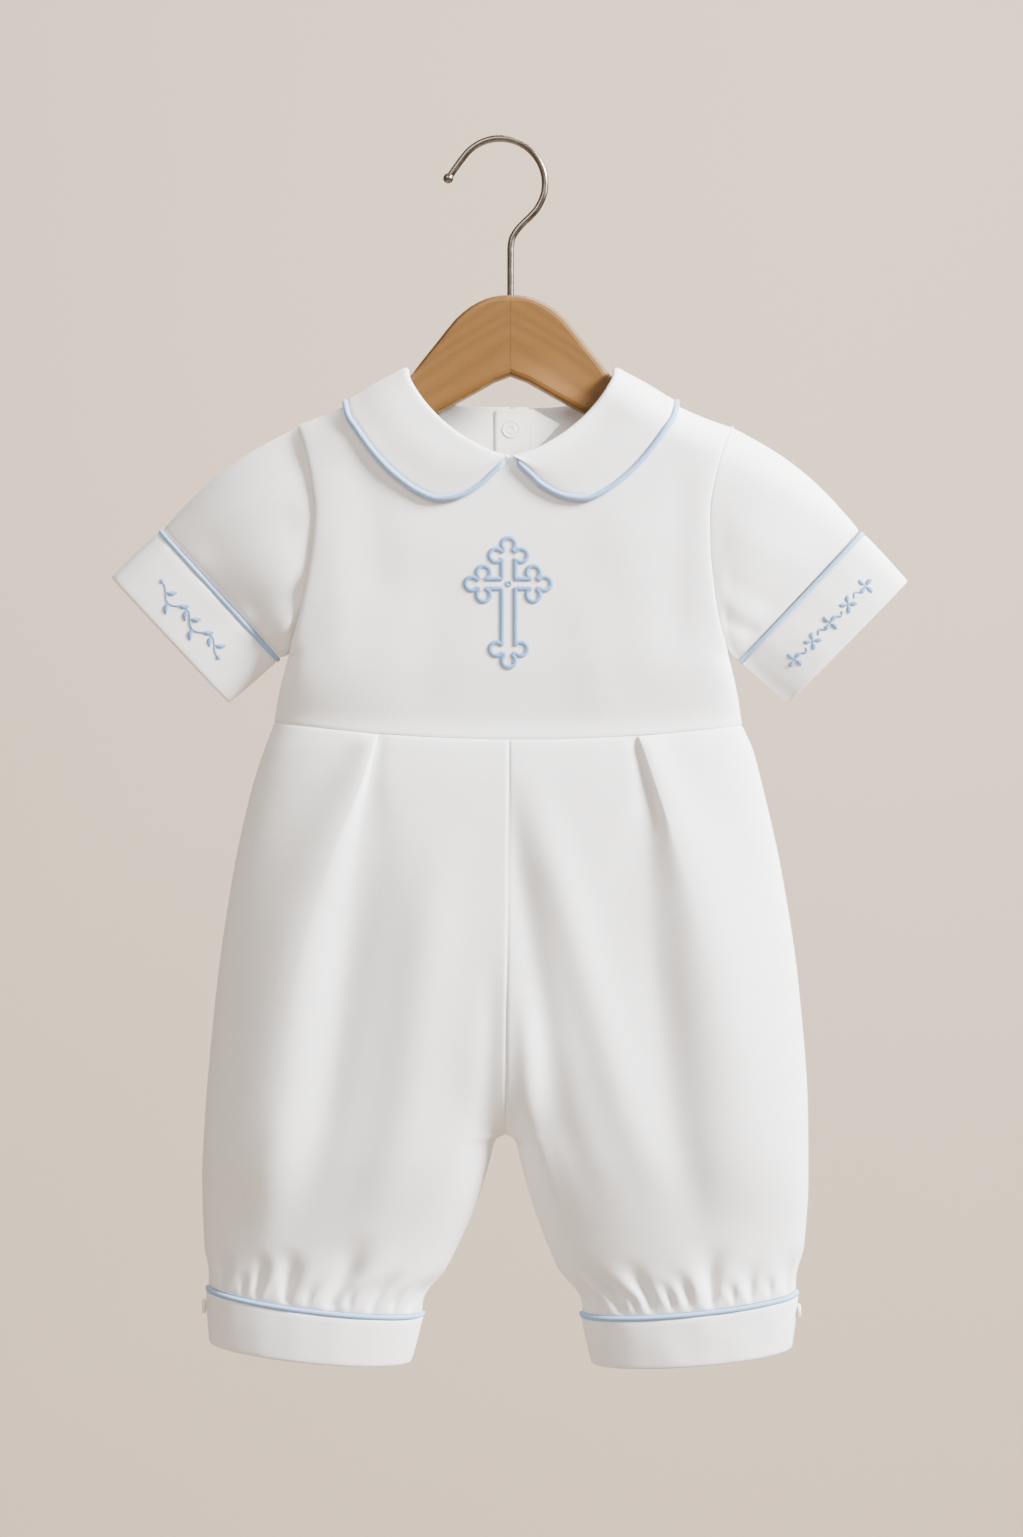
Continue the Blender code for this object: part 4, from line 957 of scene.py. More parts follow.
def nickel_material(name):
    """Drawn nickel wire with fine marks round and along it."""
    n = Nodes(name)
    marks = n.streaks(n.weave(), (40.0, 30.0, 1.0), 3.0)
    dull = n.noise(n.position(), 180.0, 3.0)
    tint = n.blend(dull, rgb(NICKEL_DARK), rgb(NICKEL_LIGHT))
    return n.finish(Base_Color=tint, Metallic=1.0, Roughness=n.spread(dull, 0.3, 0.7, 0.24, 0.36),
                    Normal=n.relief(0.08, marks))


def pearl_material(name):
    """Glossy button plastic with a cloudy pearl depth."""
    n = Nodes(name)
    clouds = n.noise(n.position(), 420.0, 4.0)
    tint = n.blend(clouds, rgb(PEARL_DARK), rgb(PEARL_LIGHT))
    return n.finish(Base_Color=tint, Roughness=n.spread(clouds, 0.3, 0.7, 0.22, 0.34),
                    Normal=n.relief(0.05, clouds), Coat_Weight=0.3, Coat_Roughness=0.15)


NICKEL_DARK = (0.14, 0.12, 0.10)
NICKEL_LIGHT = (0.25, 0.22, 0.19)
PEARL_DARK = (0.80, 0.78, 0.75)
PEARL_LIGHT = (0.92, 0.91, 0.89)
SATIN_PITCH = 0.0007
ARM_SLOPE = math.radians(31.0)
FINISH = {}


def finish_of(name):
    if not FINISH:
        FINISH.update(finishes())
    return FINISH[name]


def thin():
    return bpy.context.scene.romper_cloth.cloth_thickness


def bodice_columns():
    """Columns of the whole bodice, closer at its sides and at the corners of the neck."""
    middle, half = span(NECK_SIDE_Z)
    corner_right = (NECK_X - NECK_HALF_WIDTH - middle) / half
    corner_left = (NECK_X + NECK_HALF_WIDTH - middle) / half
    crowd = 1 - np.cos(np.linspace(0, math.pi / 2, 32))
    steps = np.linspace(0, 1, 67)
    eased = 0.5 * steps + 0.25 * (1 - np.cos(math.pi * steps))
    between = corner_right + (corner_left - corner_right) * eased
    columns = np.concatenate([-1 + (1 + corner_right) * crowd, between[1:-1],
                              (1 - (1 - corner_left) * crowd)[::-1]])
    return columns, middle, half


def bodice_panel(name, face, columns, node, seams):
    surface = bodice(face)
    a, b = np.meshgrid(columns, crowded(BODICE_ROWS, extra=(0.002, 0.0045, 0.0075)))
    points = surface(a, b)
    normals = facing(normals_of(surface, a, b), (0, face, 0))
    points = roll_in(points, normals, seams)
    return keep(cloth(name, points, normals, thickness=thin()), "white_weave", node)


def make_bodice():
    columns, middle, half = bodice_columns()
    front = bodice_panel("front_bodice", FRONT, columns, "bodice_front",
                         ("first_column", "last_column", "first_row"))
    edge = (BACK_EDGE_X - middle) / half
    inside = columns[(columns > -1) & (columns < edge - 0.004)]
    right = bodice_panel("back_bodice_right", BACK, np.concatenate([[-1], inside, [edge]]),
                         "bodice_back_right", ("first_column", "first_row"))
    inside = columns[(columns < 1) & (columns > edge + 0.006)]
    left = bodice_panel("back_bodice_left", BACK, np.concatenate([[edge + 0.002], inside, [1]]),
                        "bodice_back_left", ("first_column", "last_column", "first_row"))


def make_placket():
    """The lap strip inside the back neck, folded from one strip of cloth, and its round snap."""
    top_z = NECK_SIDE_Z - NECK_BACK_DROP - 2.0
    z = np.linspace(top_z, PLACKET_LOW_Z, 60)
    across = np.array([0.0, 0.02, 0.06, 0.12, 0.25, 0.4, 0.55, 0.7, 0.82, 0.9, 0.95, 1.0])
    share, z = np.meshgrid(across, z)
    x = PLACKET_X[0] + (PLACKET_X[1] - PLACKET_X[0]) * share
    y = bodice_y(BACK, x, z) - PLACKET_INSET
    y = y + 0.9 * bump(share, 0.0, 0.04) + 0.7 * bump(share, 1.0, 0.04)
    y = y + 0.35 * bump(share, 0.10, 0.02) + 0.15 * np.sin(z / 17.0)
    points = np.stack([x, y, z], axis=-1)
    normals = np.broadcast_to((0.0, -1.0, 0.0), points.shape)
    strip = keep(cloth("lap_strip", points, normals, thickness=PLACKET_CLOTH * MM), "white_weave",
                 "back_placket")
    face_y = float(bodice_y(BACK, np.array(NECK_X), np.array(NECK_BUTTON_Z))) - PLACKET_INSET
    turned_button("neck_snap", SNAP_PROFILE, (NECK_X, face_y - 0.2, NECK_BUTTON_Z), (math.pi / 2, 0, 0),
                  "neck_button")


# Half sections of the snap and of the leg buttons: radius and height
SNAP_PROFILE = [(0.0, 0.25), (0.9, 0.28), (1.3, 0.62), (1.8, 1.0), (2.2, 0.9), (2.5, 0.30), (3.2, 0.15),
                (3.6, 0.50), (4.0, 1.2), (4.4, 1.0), (4.6, 0.30), (4.5, -0.3)]
BUTTON_PROFILE = [(0.0, 0.35), (1.3, 0.35), (2.2, 0.45), (2.7, 0.8), (3.3, 0.8), (3.75, 0.45), (3.8, 0.0),
                  (3.7, -0.5), (3.2, -0.8), (0.9, -0.8), (0.8, -1.3), (0.0, -1.3)]
BUTTON_SEGMENTS = 40


def turned_button(name, profile, position, turn, node):
    """A pearl piece turned from its half section about Z, then turned and put in its place."""
    segments = BUTTON_SEGMENTS
    angles = np.linspace(0, 2 * math.pi, segments, endpoint=False)
    mesh = bmesh.new()
    rings = []
    for radius, height in profile:
        if radius == 0:
            rings.append([mesh.verts.new((0, 0, height * MM))])
        else:
            rings.append([mesh.verts.new((radius * MM * math.cos(a), radius * MM * math.sin(a), height * MM))
                          for a in angles])
    for low, high in zip(rings, rings[1:]):
        for i in range(segments):
            j = (i + 1) % segments
            corners = [low[i % len(low)], low[j % len(low)], high[j % len(high)], high[i % len(high)]]
            mesh.faces.new(list(dict.fromkeys(corners)))
    bmesh.ops.recalc_face_normals(mesh, faces=mesh.faces[:])
    data = bpy.data.meshes.new(name)
    mesh.to_mesh(data)
    mesh.free()
    data.shade_smooth()
    button = bpy.data.objects.new(name, data)
    button.matrix_world = Matrix.Translation(Vector(position) * MM) @ Euler(turn).to_matrix().to_4x4()
    keep(button, "pearl", node)


def make_collar(word, side):
    surface = collar(side)
    runs = ((0, 0.8), (0.815, 1.185), (1.2, 2))
    along = np.concatenate([np.linspace(*run, COLLAR_COLUMNS) for run in runs])
    out = crowded(COLLAR_ROWS, extra=(0.006, 0.014, 0.028, 0.045, 0.065))
    a, b = np.meshgrid(along, out)
    points = surface(a, b)
    normals = facing(normals_of(surface, a, b), points - (NECK_X + side * 40.0, 0, -190.0))
    from_neck = run_lengths(points, 0)
    to_edge = from_neck[-1:] - from_neck
    roll = np.clip(from_neck / COLLAR_ROLL, 0, 1)
    lift = (COLLAR_GAP + COLLAR_CLOTH) * np.sqrt(np.clip(1 - (1 - roll) ** 2, 0, 1)) * 0.9 + 0.2
    lift = lift + COLLAR_PUFF * np.sin(math.pi * b) ** 2 - 0.5 * np.exp(-(to_edge**2))
    wave = 0.25 * np.sin(5.0 * a + 2.0 * b) * b
    shell = points + (lift + wave)[..., None] * normals
    obj = keep(cloth(f"collar_piece_{word}", shell, normals, thickness=CLOTH * MM), "white_weave",
               f"collar_{word}")
    edge = points[-1]
    up = normals[-1]
    run = unit(np.gradient(edge, axis=0))
    away = facing(unit(np.cross(run, up)), edge - points[-4])
    radius = COLLAR_PIPING_RADIUS
    route = edge + (radius + 0.1) * away + (COLLAR_GAP + radius) * up
    cord = rope(f"collar_cord_{word}", route[:-2:2], radius * COLLAR_CORD_SHARE, COLLAR_CORD_ROUND)
    keep(cord, "blue_satin", f"collar_piping_{word}")


def make_sleeve(word, side):
    surface = sleeve(side)
    angles = np.linspace(0, 2 * math.pi, SLEEVE_COLUMNS + 1)
    along = crowded(SLEEVE_ROWS, extra=(0.006, 0.015, 0.028), last=0.99)
    a, b = np.meshgrid(angles, along)
    points = surface(a, b)
    normals = facing(normals_of(surface, a, b, turning=True), points - points.mean(axis=1, keepdims=True))
    points = roll_in(points, normals, ("first_row", "last_row"))
    points[:, -1] = points[:, 0]
    obj = keep(cloth(f"sleeve_cloth_{word}", points, normals, closed=True, thickness=thin()), "white_weave",
               f"sleeve_{word}")


def cuff_band(name, cuff, ring_shape, count, node):
    """A folded band: down its outside, round its lower fold and up its inside."""
    height = cuff_height(cuff)
    start = (2 * PIPING_RADIUS - 0.2) / height
    outside = [(start, 0.7), (start + 0.02, 0.25), (start + 0.05, 0.0), (0.22, 0.0), (0.34, -0.1),
               (0.46, -0.15), (0.58, -0.15), (0.7, -0.1), (0.82, -0.05), (0.9, 0.0), (0.955, 0.05),
               (0.985, 0.25), (0.998, 0.6)]
    inside = [(1.0, 0.95), (0.995, 1.35), (0.98, 1.65), *((low, CUFF_FOLD) for low in (0.95, 0.8, 0.5, 0.2))]
    angles = np.linspace(0, 2 * math.pi, count + 1)
    rings = []
    for low, inset in outside + inside:
        ripple = 0.14 * np.sin(9 * angles + 5 * low) + 0.1 * np.sin(17 * angles + 2.0)
        ring = ring_point(cuff, angles, np.full(count + 1, low), *ring_shape, inset=inset)
        centre = ring[:-1].mean(axis=0)
        ring = ring + (ripple * min(1, 4 * (1 - low) + 0.3))[:, None] * unit(ring - centre)
        ring[-1] = ring[0]
        rings.append(ring)
    points = np.array(rings)
    outward = points - points[:, :-1].mean(axis=1)[:, None]
    outward[len(outside):] *= -1
    return keep(cloth(name, points, outward, closed=True), "white_weave", node)


def cuff_cord(name, cuff, ring_shape, count, node):
    angles = np.arange(count) * 2 * math.pi / count
    low = np.full(count, PIPING_RADIUS / cuff_height(cuff))
    route = ring_point(cuff, angles, low, *ring_shape, inset=0.9)
    return keep(rope(name, route, CORD_SHARE * PIPING_RADIUS, CORD_ROUND, cyclic=True), "blue_satin", node)


def make_sleeve_cuff(word, side):
    cuff = SLEEVE_CUFFS[side]
    band = cuff_band(f"sleeve_band_{word}", cuff, SLEEVE_RING, SLEEVE_CUFF_COLUMNS, f"sleeve_cuff_{word}")
    cord = cuff_cord(f"sleeve_cord_{word}", cuff, SLEEVE_RING, SLEEVE_CUFF_COLUMNS, f"sleeve_piping_{word}")


def make_leg_cuff(word, side):
    cuff = LEG_CUFFS[side]
    band = cuff_band(f"leg_band_{word}", cuff, LEG_RING, LEG_CUFF_COLUMNS, f"leg_cuff_{word}")
    cord = cuff_cord(f"leg_cord_{word}", cuff, LEG_RING, LEG_CUFF_COLUMNS, f"leg_piping_{word}")
    share = LEG_BUTTON_DROP / (cuff.outer_z - cuff.low_outer_z)
    cuff_x = cuff.outer_x + (cuff.low_outer_x - cuff.outer_x) * share
    button_x = cuff_x + side * (BUTTON_THICKNESS / 2 + LEG_BUTTON_GAP)
    turned_button(f"cuff_button_{word}", BUTTON_PROFILE, (button_x, 0, cuff.outer_z - LEG_BUTTON_DROP),
                  (0, side * math.pi / 2, 0), f"leg_button_{word}")


def leg_grid(side):
    """Shares across and places down of a trouser panel, with columns that follow the waist pleat."""
    steps = np.linspace(0, 1, LEG_COLUMNS)
    share = 0.35 * steps + 0.65 * (1 - np.cos(math.pi * steps)) / 2
    start = PLEATS[side][0].share
    close = start + np.linspace(-0.03, 0.03, PLEAT_COLUMNS)
    share = np.sort(np.concatenate([share[np.abs(share - start) > 0.033], close]))
    upper = crowded(UPPER_LEG_ROWS, extra=(0.002, 0.005, 0.009))
    lower = 1 + crowded(LOWER_LEG_ROWS, extra=(0.004, 0.010, 0.018))
    down = np.concatenate([upper[:-1], lower[3:]])
    share, down = np.meshgrid(share, down)
    below = np.clip(down, 0, 1) * (WAIST_Z - CROTCH_Z)
    shift = leg_pleat(side, np.minimum(below, PLEAT_FOLLOW))["share"] - start
    share = share + shift * bump(share, start, 0.16) * np.clip(share * (1 - share) / 0.15, 0, 1)
    return share, down


def make_leg(word, side, label, face):
    surface = leg(side, face)
    share, down = leg_grid(side)
    points = surface(share, down)
    normals = facing(normals_of(surface, share, down), (0, face, 0))
    points = roll_in(points, normals, ("first_column", "last_column", "first_row", "last_row"))
    obj = keep(cloth(f"leg_{label}_cloth_{word}", points, normals, thickness=thin()), "white_weave",
               f"leg_{label}_{word}")


def make_hook():
    """The wire hook: an arc that runs out straight to its ball end, with an S down into the wood."""
    round_part = arc((0.0, WIRE_RADIUS - HOOK_RADIUS), HOOK_RADIUS, *HOOK_ARC)
    path = np.array([HOOK_TIP, *round_part, *HOOK_BEND, (STEM_X, WOOD_TOP_Z - STEM_SUNK)])
    length = np.concatenate([[0], np.cumsum(np.linalg.norm(np.diff(path, axis=0), axis=1))])
    at = np.concatenate([np.linspace(0, 5.0, 16), np.linspace(5.6, length[-1], 170)])
    x = read(length, path[:, 0], at)
    z = read(length, path[:, 1], at)
    ball = np.sqrt(np.clip(1 - ((at - BALL_MIDDLE) / 2.6) ** 2, 0, 1)) * BALL_RADIUS / WIRE_RADIUS
    swell = np.where(at < BALL_MIDDLE, ball, np.maximum(ball, 1.0))
    swell[0] = 0.15
    route = np.stack([x, np.zeros_like(x), z], axis=-1)
    wire = rope("hook_wire", route, WIRE_RADIUS, 1.0, sides=20, thickness_at=swell)
    keep(wire, "brushed_nickel", "hanger_hook")


def make_wood():
    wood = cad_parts["hanger_wood"]
    wood.data.materials.clear()
    wood.data.materials.append(finish_of("beech_grain"))
    wood.data.shade_smooth()


def with_normals(at):
    """Adds the way out of the cloth to a function that gives its points."""

    def surface(s, t):
        normals = unit(np.cross(at(s + 0.5, t) - at(s - 0.5, t), at(s, t + 0.5) - at(s, t - 0.5)))
        return at(s, t), np.where(normals[..., 1:2] > 0, -normals, normals)

    return surface


@with_normals
def on_front(x, z):
    """Points of the front bodice's cloth."""
    middle, half = span(z)
    fall = 1 - ((x - middle) / half) ** 4
    return np.stack([x, bodice_y(FRONT, x, z) - bodice_folds(FRONT, x, z) * fall, z], axis=-1)


def on_cuff(side):
    """The front of a sleeve cuff by distance from its middle towards the underarm, and below its top edge."""
    cuff = SLEEVE_CUFFS[side]
    length = math.hypot(cuff.inner_x - cuff.outer_x, cuff.inner_z - cuff.outer_z)
    height = cuff_height(cuff)

    @with_normals
    def surface(s, t):
        across = np.clip(-2 * s / length, -0.98, 0.98)
        angle = np.arccos(np.sign(across) * np.abs(across) ** (SLEEVE_CUFF_POWER / 2))
        return ring_point(cuff, angle, t / height, *SLEEVE_RING)

    return surface


Stroke = namedtuple("Stroke", "points width taper")


def resampled(points, pitch):
    """Points at even distances along a polyline."""
    points = np.asarray(points, float)
    length = run_lengths(points[None], 1)[0]
    at = np.linspace(0, length[-1], max(3, int(length[-1] / pitch) + 1))
    return np.stack([np.interp(at, length, points[:, 0]), np.interp(at, length, points[:, 1])], axis=-1)


def satin(name, strokes, surface):
    """Satin stitches: threads laid side by side across each stroke, raised over the cloth."""
    stations = np.array([-1.0, -0.72, 0.0, 0.72, 1.0])
    places = []
    rises = []
    for stroke in strokes:
        points = resampled(stroke.points, STITCH_PITCH)
        run = unit(np.gradient(points, axis=0))
        across = np.stack([-run[:, 1], run[:, 0]], axis=-1)
        share = np.linspace(0, 1, len(points))
        width = stroke.width * (np.sin(math.pi * (0.04 + 0.92 * share)) ** 0.8 if stroke.taper else 1.0)
        width = width * (1 + 0.07 * np.sin(41.0 * share * len(points))) * np.ones(len(points))
        offset = across * width[:, None] / 2 + run * 0.12
        places.append(points[:, None] + offset[:, None] * stations[:, None])
        rises.append(np.sqrt(1 - 0.9 * stations**2) * (0.25 + 0.14 * width[:, None]))
    places = np.concatenate(places)
    rises = np.concatenate(rises)
    base, normals = surface(places[..., 0], places[..., 1])
    line = base + (rises + 0.05)[..., None] * normals
    run = unit(np.gradient(line, axis=1))
    side = unit(np.cross(run, normals))
    up = np.cross(side, run)
    sides = THREAD_SIDES
    angles = np.linspace(0, 2 * math.pi, sides, endpoint=False)
    ring = np.cos(angles)[:, None] * side[:, :, None] + np.sin(angles)[:, None] * up[:, :, None]
    verts = line[:, :, None] + THREAD_RADIUS * ring
    count, along = line.shape[:2]
    stitch, place, turn = np.meshgrid(np.arange(count), np.arange(along - 1), np.arange(sides), indexing="ij")

    def index(place, turn):
        return (stitch * along * sides + place * sides + turn % sides).ravel()

    quads = np.stack([index(place, turn), index(place + 1, turn), index(place + 1, turn + 1),
                      index(place, turn + 1)], axis=1)
    u = place.ravel() / (along - 1) * THREAD_UV_LENGTH
    v = turn.ravel() / sides * THREAD_UV_ROUND + stitch.ravel() * THREAD_UV_STEP
    next_u = u + THREAD_UV_LENGTH / (along - 1)
    next_v = v + THREAD_UV_ROUND / sides
    uv = np.stack([np.stack(corner, axis=-1)
                   for corner in ((u, v), (next_u, v), (next_u, next_v), (u, next_v))], axis=1)
    obj = bpy.data.objects.new(name, woven_mesh(name, verts, quads.tolist(), uv))
    return keep(obj, "blue_thread")


def arc(centre, radius, start, end, count=24):
    angles = np.radians(np.linspace(start, end, count))
    return [(centre[0] + radius * math.cos(a), centre[1] + radius * math.sin(a)) for a in angles]


def cross_outline():
    """The budded cross as one line round its edge: on each arm two side lobes and an end lobe."""
    path = []
    for arm in CROSS_ARMS:
        half = CROSS_HALF_TALL if arm.turn in (90, -90) else CROSS_HALF_WIDE
        other = CROSS_HALF_WIDE if arm.turn in (90, -90) else CROSS_HALF_TALL
        meet = math.sqrt(LOBE_RADIUS**2 - (arm.spread - half) ** 2)
        first = math.degrees(math.atan2(half - arm.spread, -meet)) + 360
        towards = math.degrees(math.atan2(-arm.spread, arm.end - arm.side))
        lobe = arc((arm.side, arm.spread), LOBE_RADIUS, first, towards + LOBE_CUSP)
        begin = 180 + towards - LOBE_CUSP
        tip = arc((arm.end, 0), LOBE_RADIUS, begin, -begin)
        local = [(other, half)] + lobe + tip + [(u, -v) for u, v in lobe[::-1]]
        cos, sin = math.cos(math.radians(arm.turn)), math.sin(math.radians(arm.turn))
        path += [(u * cos + v * sin, u * sin - v * cos) for u, v in local]
    path.append(path[0])
    return [(CROSS_MIDDLE[0] + x, CROSS_MIDDLE[1] + z) for x, z in path]


def make_cross():
    knot = arc(CROSS_MIDDLE, KNOT_RADIUS, 0, 360, 12)
    strokes = [Stroke(cross_outline(), CROSS_STROKE, False), Stroke(knot, KNOT_STROKE, False)]
    satin("budded_cross", strokes, on_front)


def leaf(base, angle, length, width):
    """One filled leaf or petal, from its base outwards."""
    direction = (math.cos(math.radians(angle)), math.sin(math.radians(angle)))
    bend = (-direction[1] * 0.12 * length, direction[0] * 0.12 * length)
    shares = np.linspace(0, 1, 9)
    return Stroke([(base[0] + direction[0] * length * s + bend[0] * math.sin(math.pi * s),
                    base[1] + direction[1] * length * s + bend[1] * math.sin(math.pi * s)) for s in shares],
                  width, True)


def vine():
    """A wavy stem with leaves on both sides and a berry at each end."""

    def stem(s):
        return VINE_MIDDLE + VINE_WAVE * math.sin(s * math.pi / VINE_STEP)

    strokes = [Stroke([(s, stem(s)) for s in np.linspace(-VINE_HALF, VINE_HALF, 60)], STEM_STROKE, False)]
    for number, s in enumerate(np.arange(-VINE_HALF + 4, VINE_HALF - 3, VINE_STEP / 2)):
        up = 1 if number % 2 else -1
        strokes.append(leaf((s, stem(s) + 0.5 * up), 48 * up, *LEAF))
    for end in (-1, 1):
        strokes.append(leaf((end * (VINE_HALF + 0.4), stem(end * VINE_HALF)), 90 - 90 * end, *BERRY))
    return strokes


def flower_row():
    """Small four-petalled flowers in a row, with a short tendril between each two."""
    strokes = []
    places = np.linspace(-FLOWER_HALF, FLOWER_HALF, FLOWER_COUNT)
    for number, s in enumerate(places):
        turn = 45 if number % 2 else 0
        for petal in range(4):
            angle = turn + 90 * petal
            out_s, out_t = math.cos(math.radians(angle)), math.sin(math.radians(angle))
            strokes.append(leaf((s + 0.9 * out_s, FLOWER_MIDDLE + 0.9 * out_t), angle, *PETAL))
        strokes.append(leaf((s - 0.6, FLOWER_MIDDLE), 0, *FLOWER_EYE))
    for number, (start, end) in enumerate(zip(places, places[1:])):
        bow = TENDRIL_BOW if number % 2 else -TENDRIL_BOW
        tendril = [(start + (end - start) * s, FLOWER_MIDDLE + bow * math.sin(math.pi * (s - 0.36) / 0.28))
                   for s in np.linspace(0.36, 0.64, 10)]
        strokes.append(Stroke(tendril, STEM_STROKE, False))
    return strokes


def make_cuff_ornaments():
    """Plain generic motifs: a vine on the right cuff and a row of flowers on the left."""
    satin("cuff_vine_right", vine(), on_cuff(RIGHT))
    satin("cuff_flowers_left", flower_row(), on_cuff(LEFT))


# Embroidery, in millimetres
STITCH_PITCH = 0.36
THREAD_RADIUS = 0.2
THREAD_SIDES = 5
THREAD_UV_LENGTH = 0.0015
THREAD_UV_ROUND = 0.0012
THREAD_UV_STEP = 0.0007
CROSS_MIDDLE = (4.4, -222.0)
CROSS_STROKE = 2.1
CROSS_HALF_TALL = 3.25
CROSS_HALF_WIDE = 2.4
KNOT_RADIUS = 1.1
KNOT_STROKE = 1.0
LOBE_RADIUS = 3.25
LOBE_CUSP = -10.0
CrossArm = namedtuple("CrossArm", "turn side spread end")
CROSS_ARMS = rows(CrossArm, [
    (0, 12.2, 5.5, 17.7), (90, 14.0, 6.1, 19.4), (180, 12.4, 5.5, 18.1), (-90, 32.2, 5.9, 38.0),
])
# Length and width of the small filled shapes
LEAF = (5.2, 2.4)
BERRY = (2.4, 2.2)
PETAL = (3.6, 2.3)
FLOWER_EYE = (1.2, 1.2)
STEM_STROKE = 0.8
TENDRIL_BOW = 1.6
VINE_HALF = 22.0
VINE_MIDDLE = 20.0
VINE_WAVE = 2.4
VINE_STEP = 9.0
FLOWER_HALF = 26.0
FLOWER_MIDDLE = 20.5
FLOWER_COUNT = 5


def light(name, kind, position, target, power, colour, **extent):
    """A lamp that looks from its position at its target and stays out of the picture."""
    data = bpy.data.lights.new(name, kind)
    data.energy = power
    data.color = colour
    if kind == "AREA":
        data.shape = "DISK"
    for key, value in extent.items():
        setattr(data, key, value)
    lamp = bpy.data.objects.new(name, data)
    lamp.location = position
    lamp.rotation_euler = (Vector(target) - Vector(position)).to_track_quat("-Z", "Y").to_euler()
    lamp.visible_camera = False
    bpy.context.scene.collection.objects.link(lamp)


def stage_material(name, colour):
    n = Nodes(name)
    cloud = n.noise(n.position(), 1.4, 2.0)
    tint = n.blend(n.spread(cloud, 0.3, 0.7), rgb(colour, 0.97), rgb(colour))
    return n.finish(Base_Color=tint, Roughness=n.spread(cloud, 0.3, 0.7, 0.88, 0.94))


def make_stage():
    settings = bpy.context.scene.romper_stage
    mesh = bmesh.new()
    half = STAGE_HALF
    wall = [(-half, WALL_Y, WALL_LOW_Z), (half, WALL_Y, WALL_LOW_Z), (half, WALL_Y, WALL_TOP_Z),
            (-half, WALL_Y, WALL_TOP_Z)]
    floor = [(-half, -half, FLOOR_Z), (half, -half, FLOOR_Z), (half, WALL_Y, FLOOR_Z),
             (-half, WALL_Y, FLOOR_Z)]
    for corners in (wall, floor):
        mesh.faces.new([mesh.verts.new(corner) for corner in corners])
    data = bpy.data.meshes.new("backdrop")
    mesh.to_mesh(data)
    mesh.free()
    data.materials.append(stage_material("backdrop_paint", settings.wall_colour))
    backdrop = bpy.data.objects.new("backdrop", data)
    bpy.context.scene.collection.objects.link(backdrop)
    light("key", "AREA", (2.0, -0.8, 1.0), MIDDLE, settings.key_power, (0.98, 0.985, 1.0), size=0.8)
    light("fill", "AREA", (-0.5, -2.1, 1.2), MIDDLE, settings.fill_power, (1.0, 0.95, 0.89), size=1.6)
    light("neck", "SPOT", (0.75, -1.3, 0.2), (0.003, 0.015, -0.143), settings.neck_power, (1.0, 0.98, 0.96),
          shadow_soft_size=0.01, spot_size=math.radians(2.1), spot_blend=1.0)
    light("back", "AREA", (-1.2, 2.2, 0.9), MIDDLE, settings.back_power, (1.0, 0.97, 0.94), size=2.0)
    light("wall_wash", "AREA", (0.9, 0.6, 1.9), (0.3, WALL_Y, -0.6), settings.wall_power, (1.0, 0.97, 0.93),
          size=1.6)
    world = bpy.data.worlds.new("studio")
    world.use_nodes = True
    background = world.node_tree.nodes["Background"]
    background.inputs["Color"].default_value = rgb(ROOM_COLOUR)
    background.inputs["Strength"].default_value = settings.sky
    bpy.context.scene.world = world
    camera = bpy.data.cameras.new("camera")
    camera.sensor_width = CAMERA_SENSOR
    camera.lens = CAMERA_SENSOR * CAMERA_DISTANCE / PICTURE_HEIGHT
    camera.clip_end = 50.0
    eye = bpy.data.objects.new("camera", camera)
    eye.location = (PICTURE_MIDDLE[0], -CAMERA_DISTANCE, PICTURE_MIDDLE[1])
    eye.rotation_euler = (math.pi / 2, 0, 0)
    bpy.context.scene.collection.objects.link(eye)
    bpy.context.scene.camera = eye


# The stage, in metres
MIDDLE = (0.0, 0.0, -0.31)
ROOM_COLOUR = (1.0, 0.84, 0.70)
STAGE_HALF = 9.0
WALL_Y = 4.0
WALL_LOW_Z = -4.0
WALL_TOP_Z = 7.0
FLOOR_Z = -3.0
CAMERA_SENSOR = 36.0
CAMERA_DISTANCE = 1.7
PICTURE_HEIGHT = 0.7685
PICTURE_MIDDLE = (0.00575, -0.31325)


class RomperClothSettings(bpy.types.PropertyGroup):
    cloth_colour: bpy.props.FloatVectorProperty(
        name="Cloth", description="Colour of the white cloth", subtype="COLOR", min=0, max=1,
        default=(0.925, 0.912, 0.902))
    piping_colour: bpy.props.FloatVectorProperty(
        name="Piping", description="Colour of the piping's satin", subtype="COLOR", min=0, max=1,
        default=(0.30, 0.47, 0.76))
    thread_colour: bpy.props.FloatVectorProperty(
        name="Thread", description="Colour of the embroidery thread", subtype="COLOR", min=0, max=1,
        default=(0.20, 0.37, 0.68))
    wood_colour: bpy.props.FloatVectorProperty(
        name="Wood", description="Colour of the hanger's beech", subtype="COLOR", min=0, max=1,
        default=(0.150, 0.069, 0.0145))
    cloth_thickness: bpy.props.FloatProperty(
        name="Cloth thickness", description="Thickness of one layer of cloth", default=0.0008, min=0.0003,
        max=0.002, unit="LENGTH", precision=5)
    thread_pitch: bpy.props.FloatProperty(
        name="Thread pitch", description="Distance between two threads of the weave", default=0.0006,
        min=0.0002, max=0.002, unit="LENGTH", precision=5)
    pleat_strength: bpy.props.FloatProperty(
        name="Pleats", description="Strength of the waist pleats", default=1.0, min=0.0, max=2.0,
        subtype="FACTOR")
    gather_strength: bpy.props.FloatProperty(
        name="Gathers", description="Strength of the gathers above the leg cuffs", default=1.0, min=0.0, max=2.0,
        subtype="FACTOR")
    fold_strength: bpy.props.FloatProperty(
        name="Long folds", description="Strength of the long folds of the trousers", default=1.0, min=0.0,
        max=2.0, subtype="FACTOR")


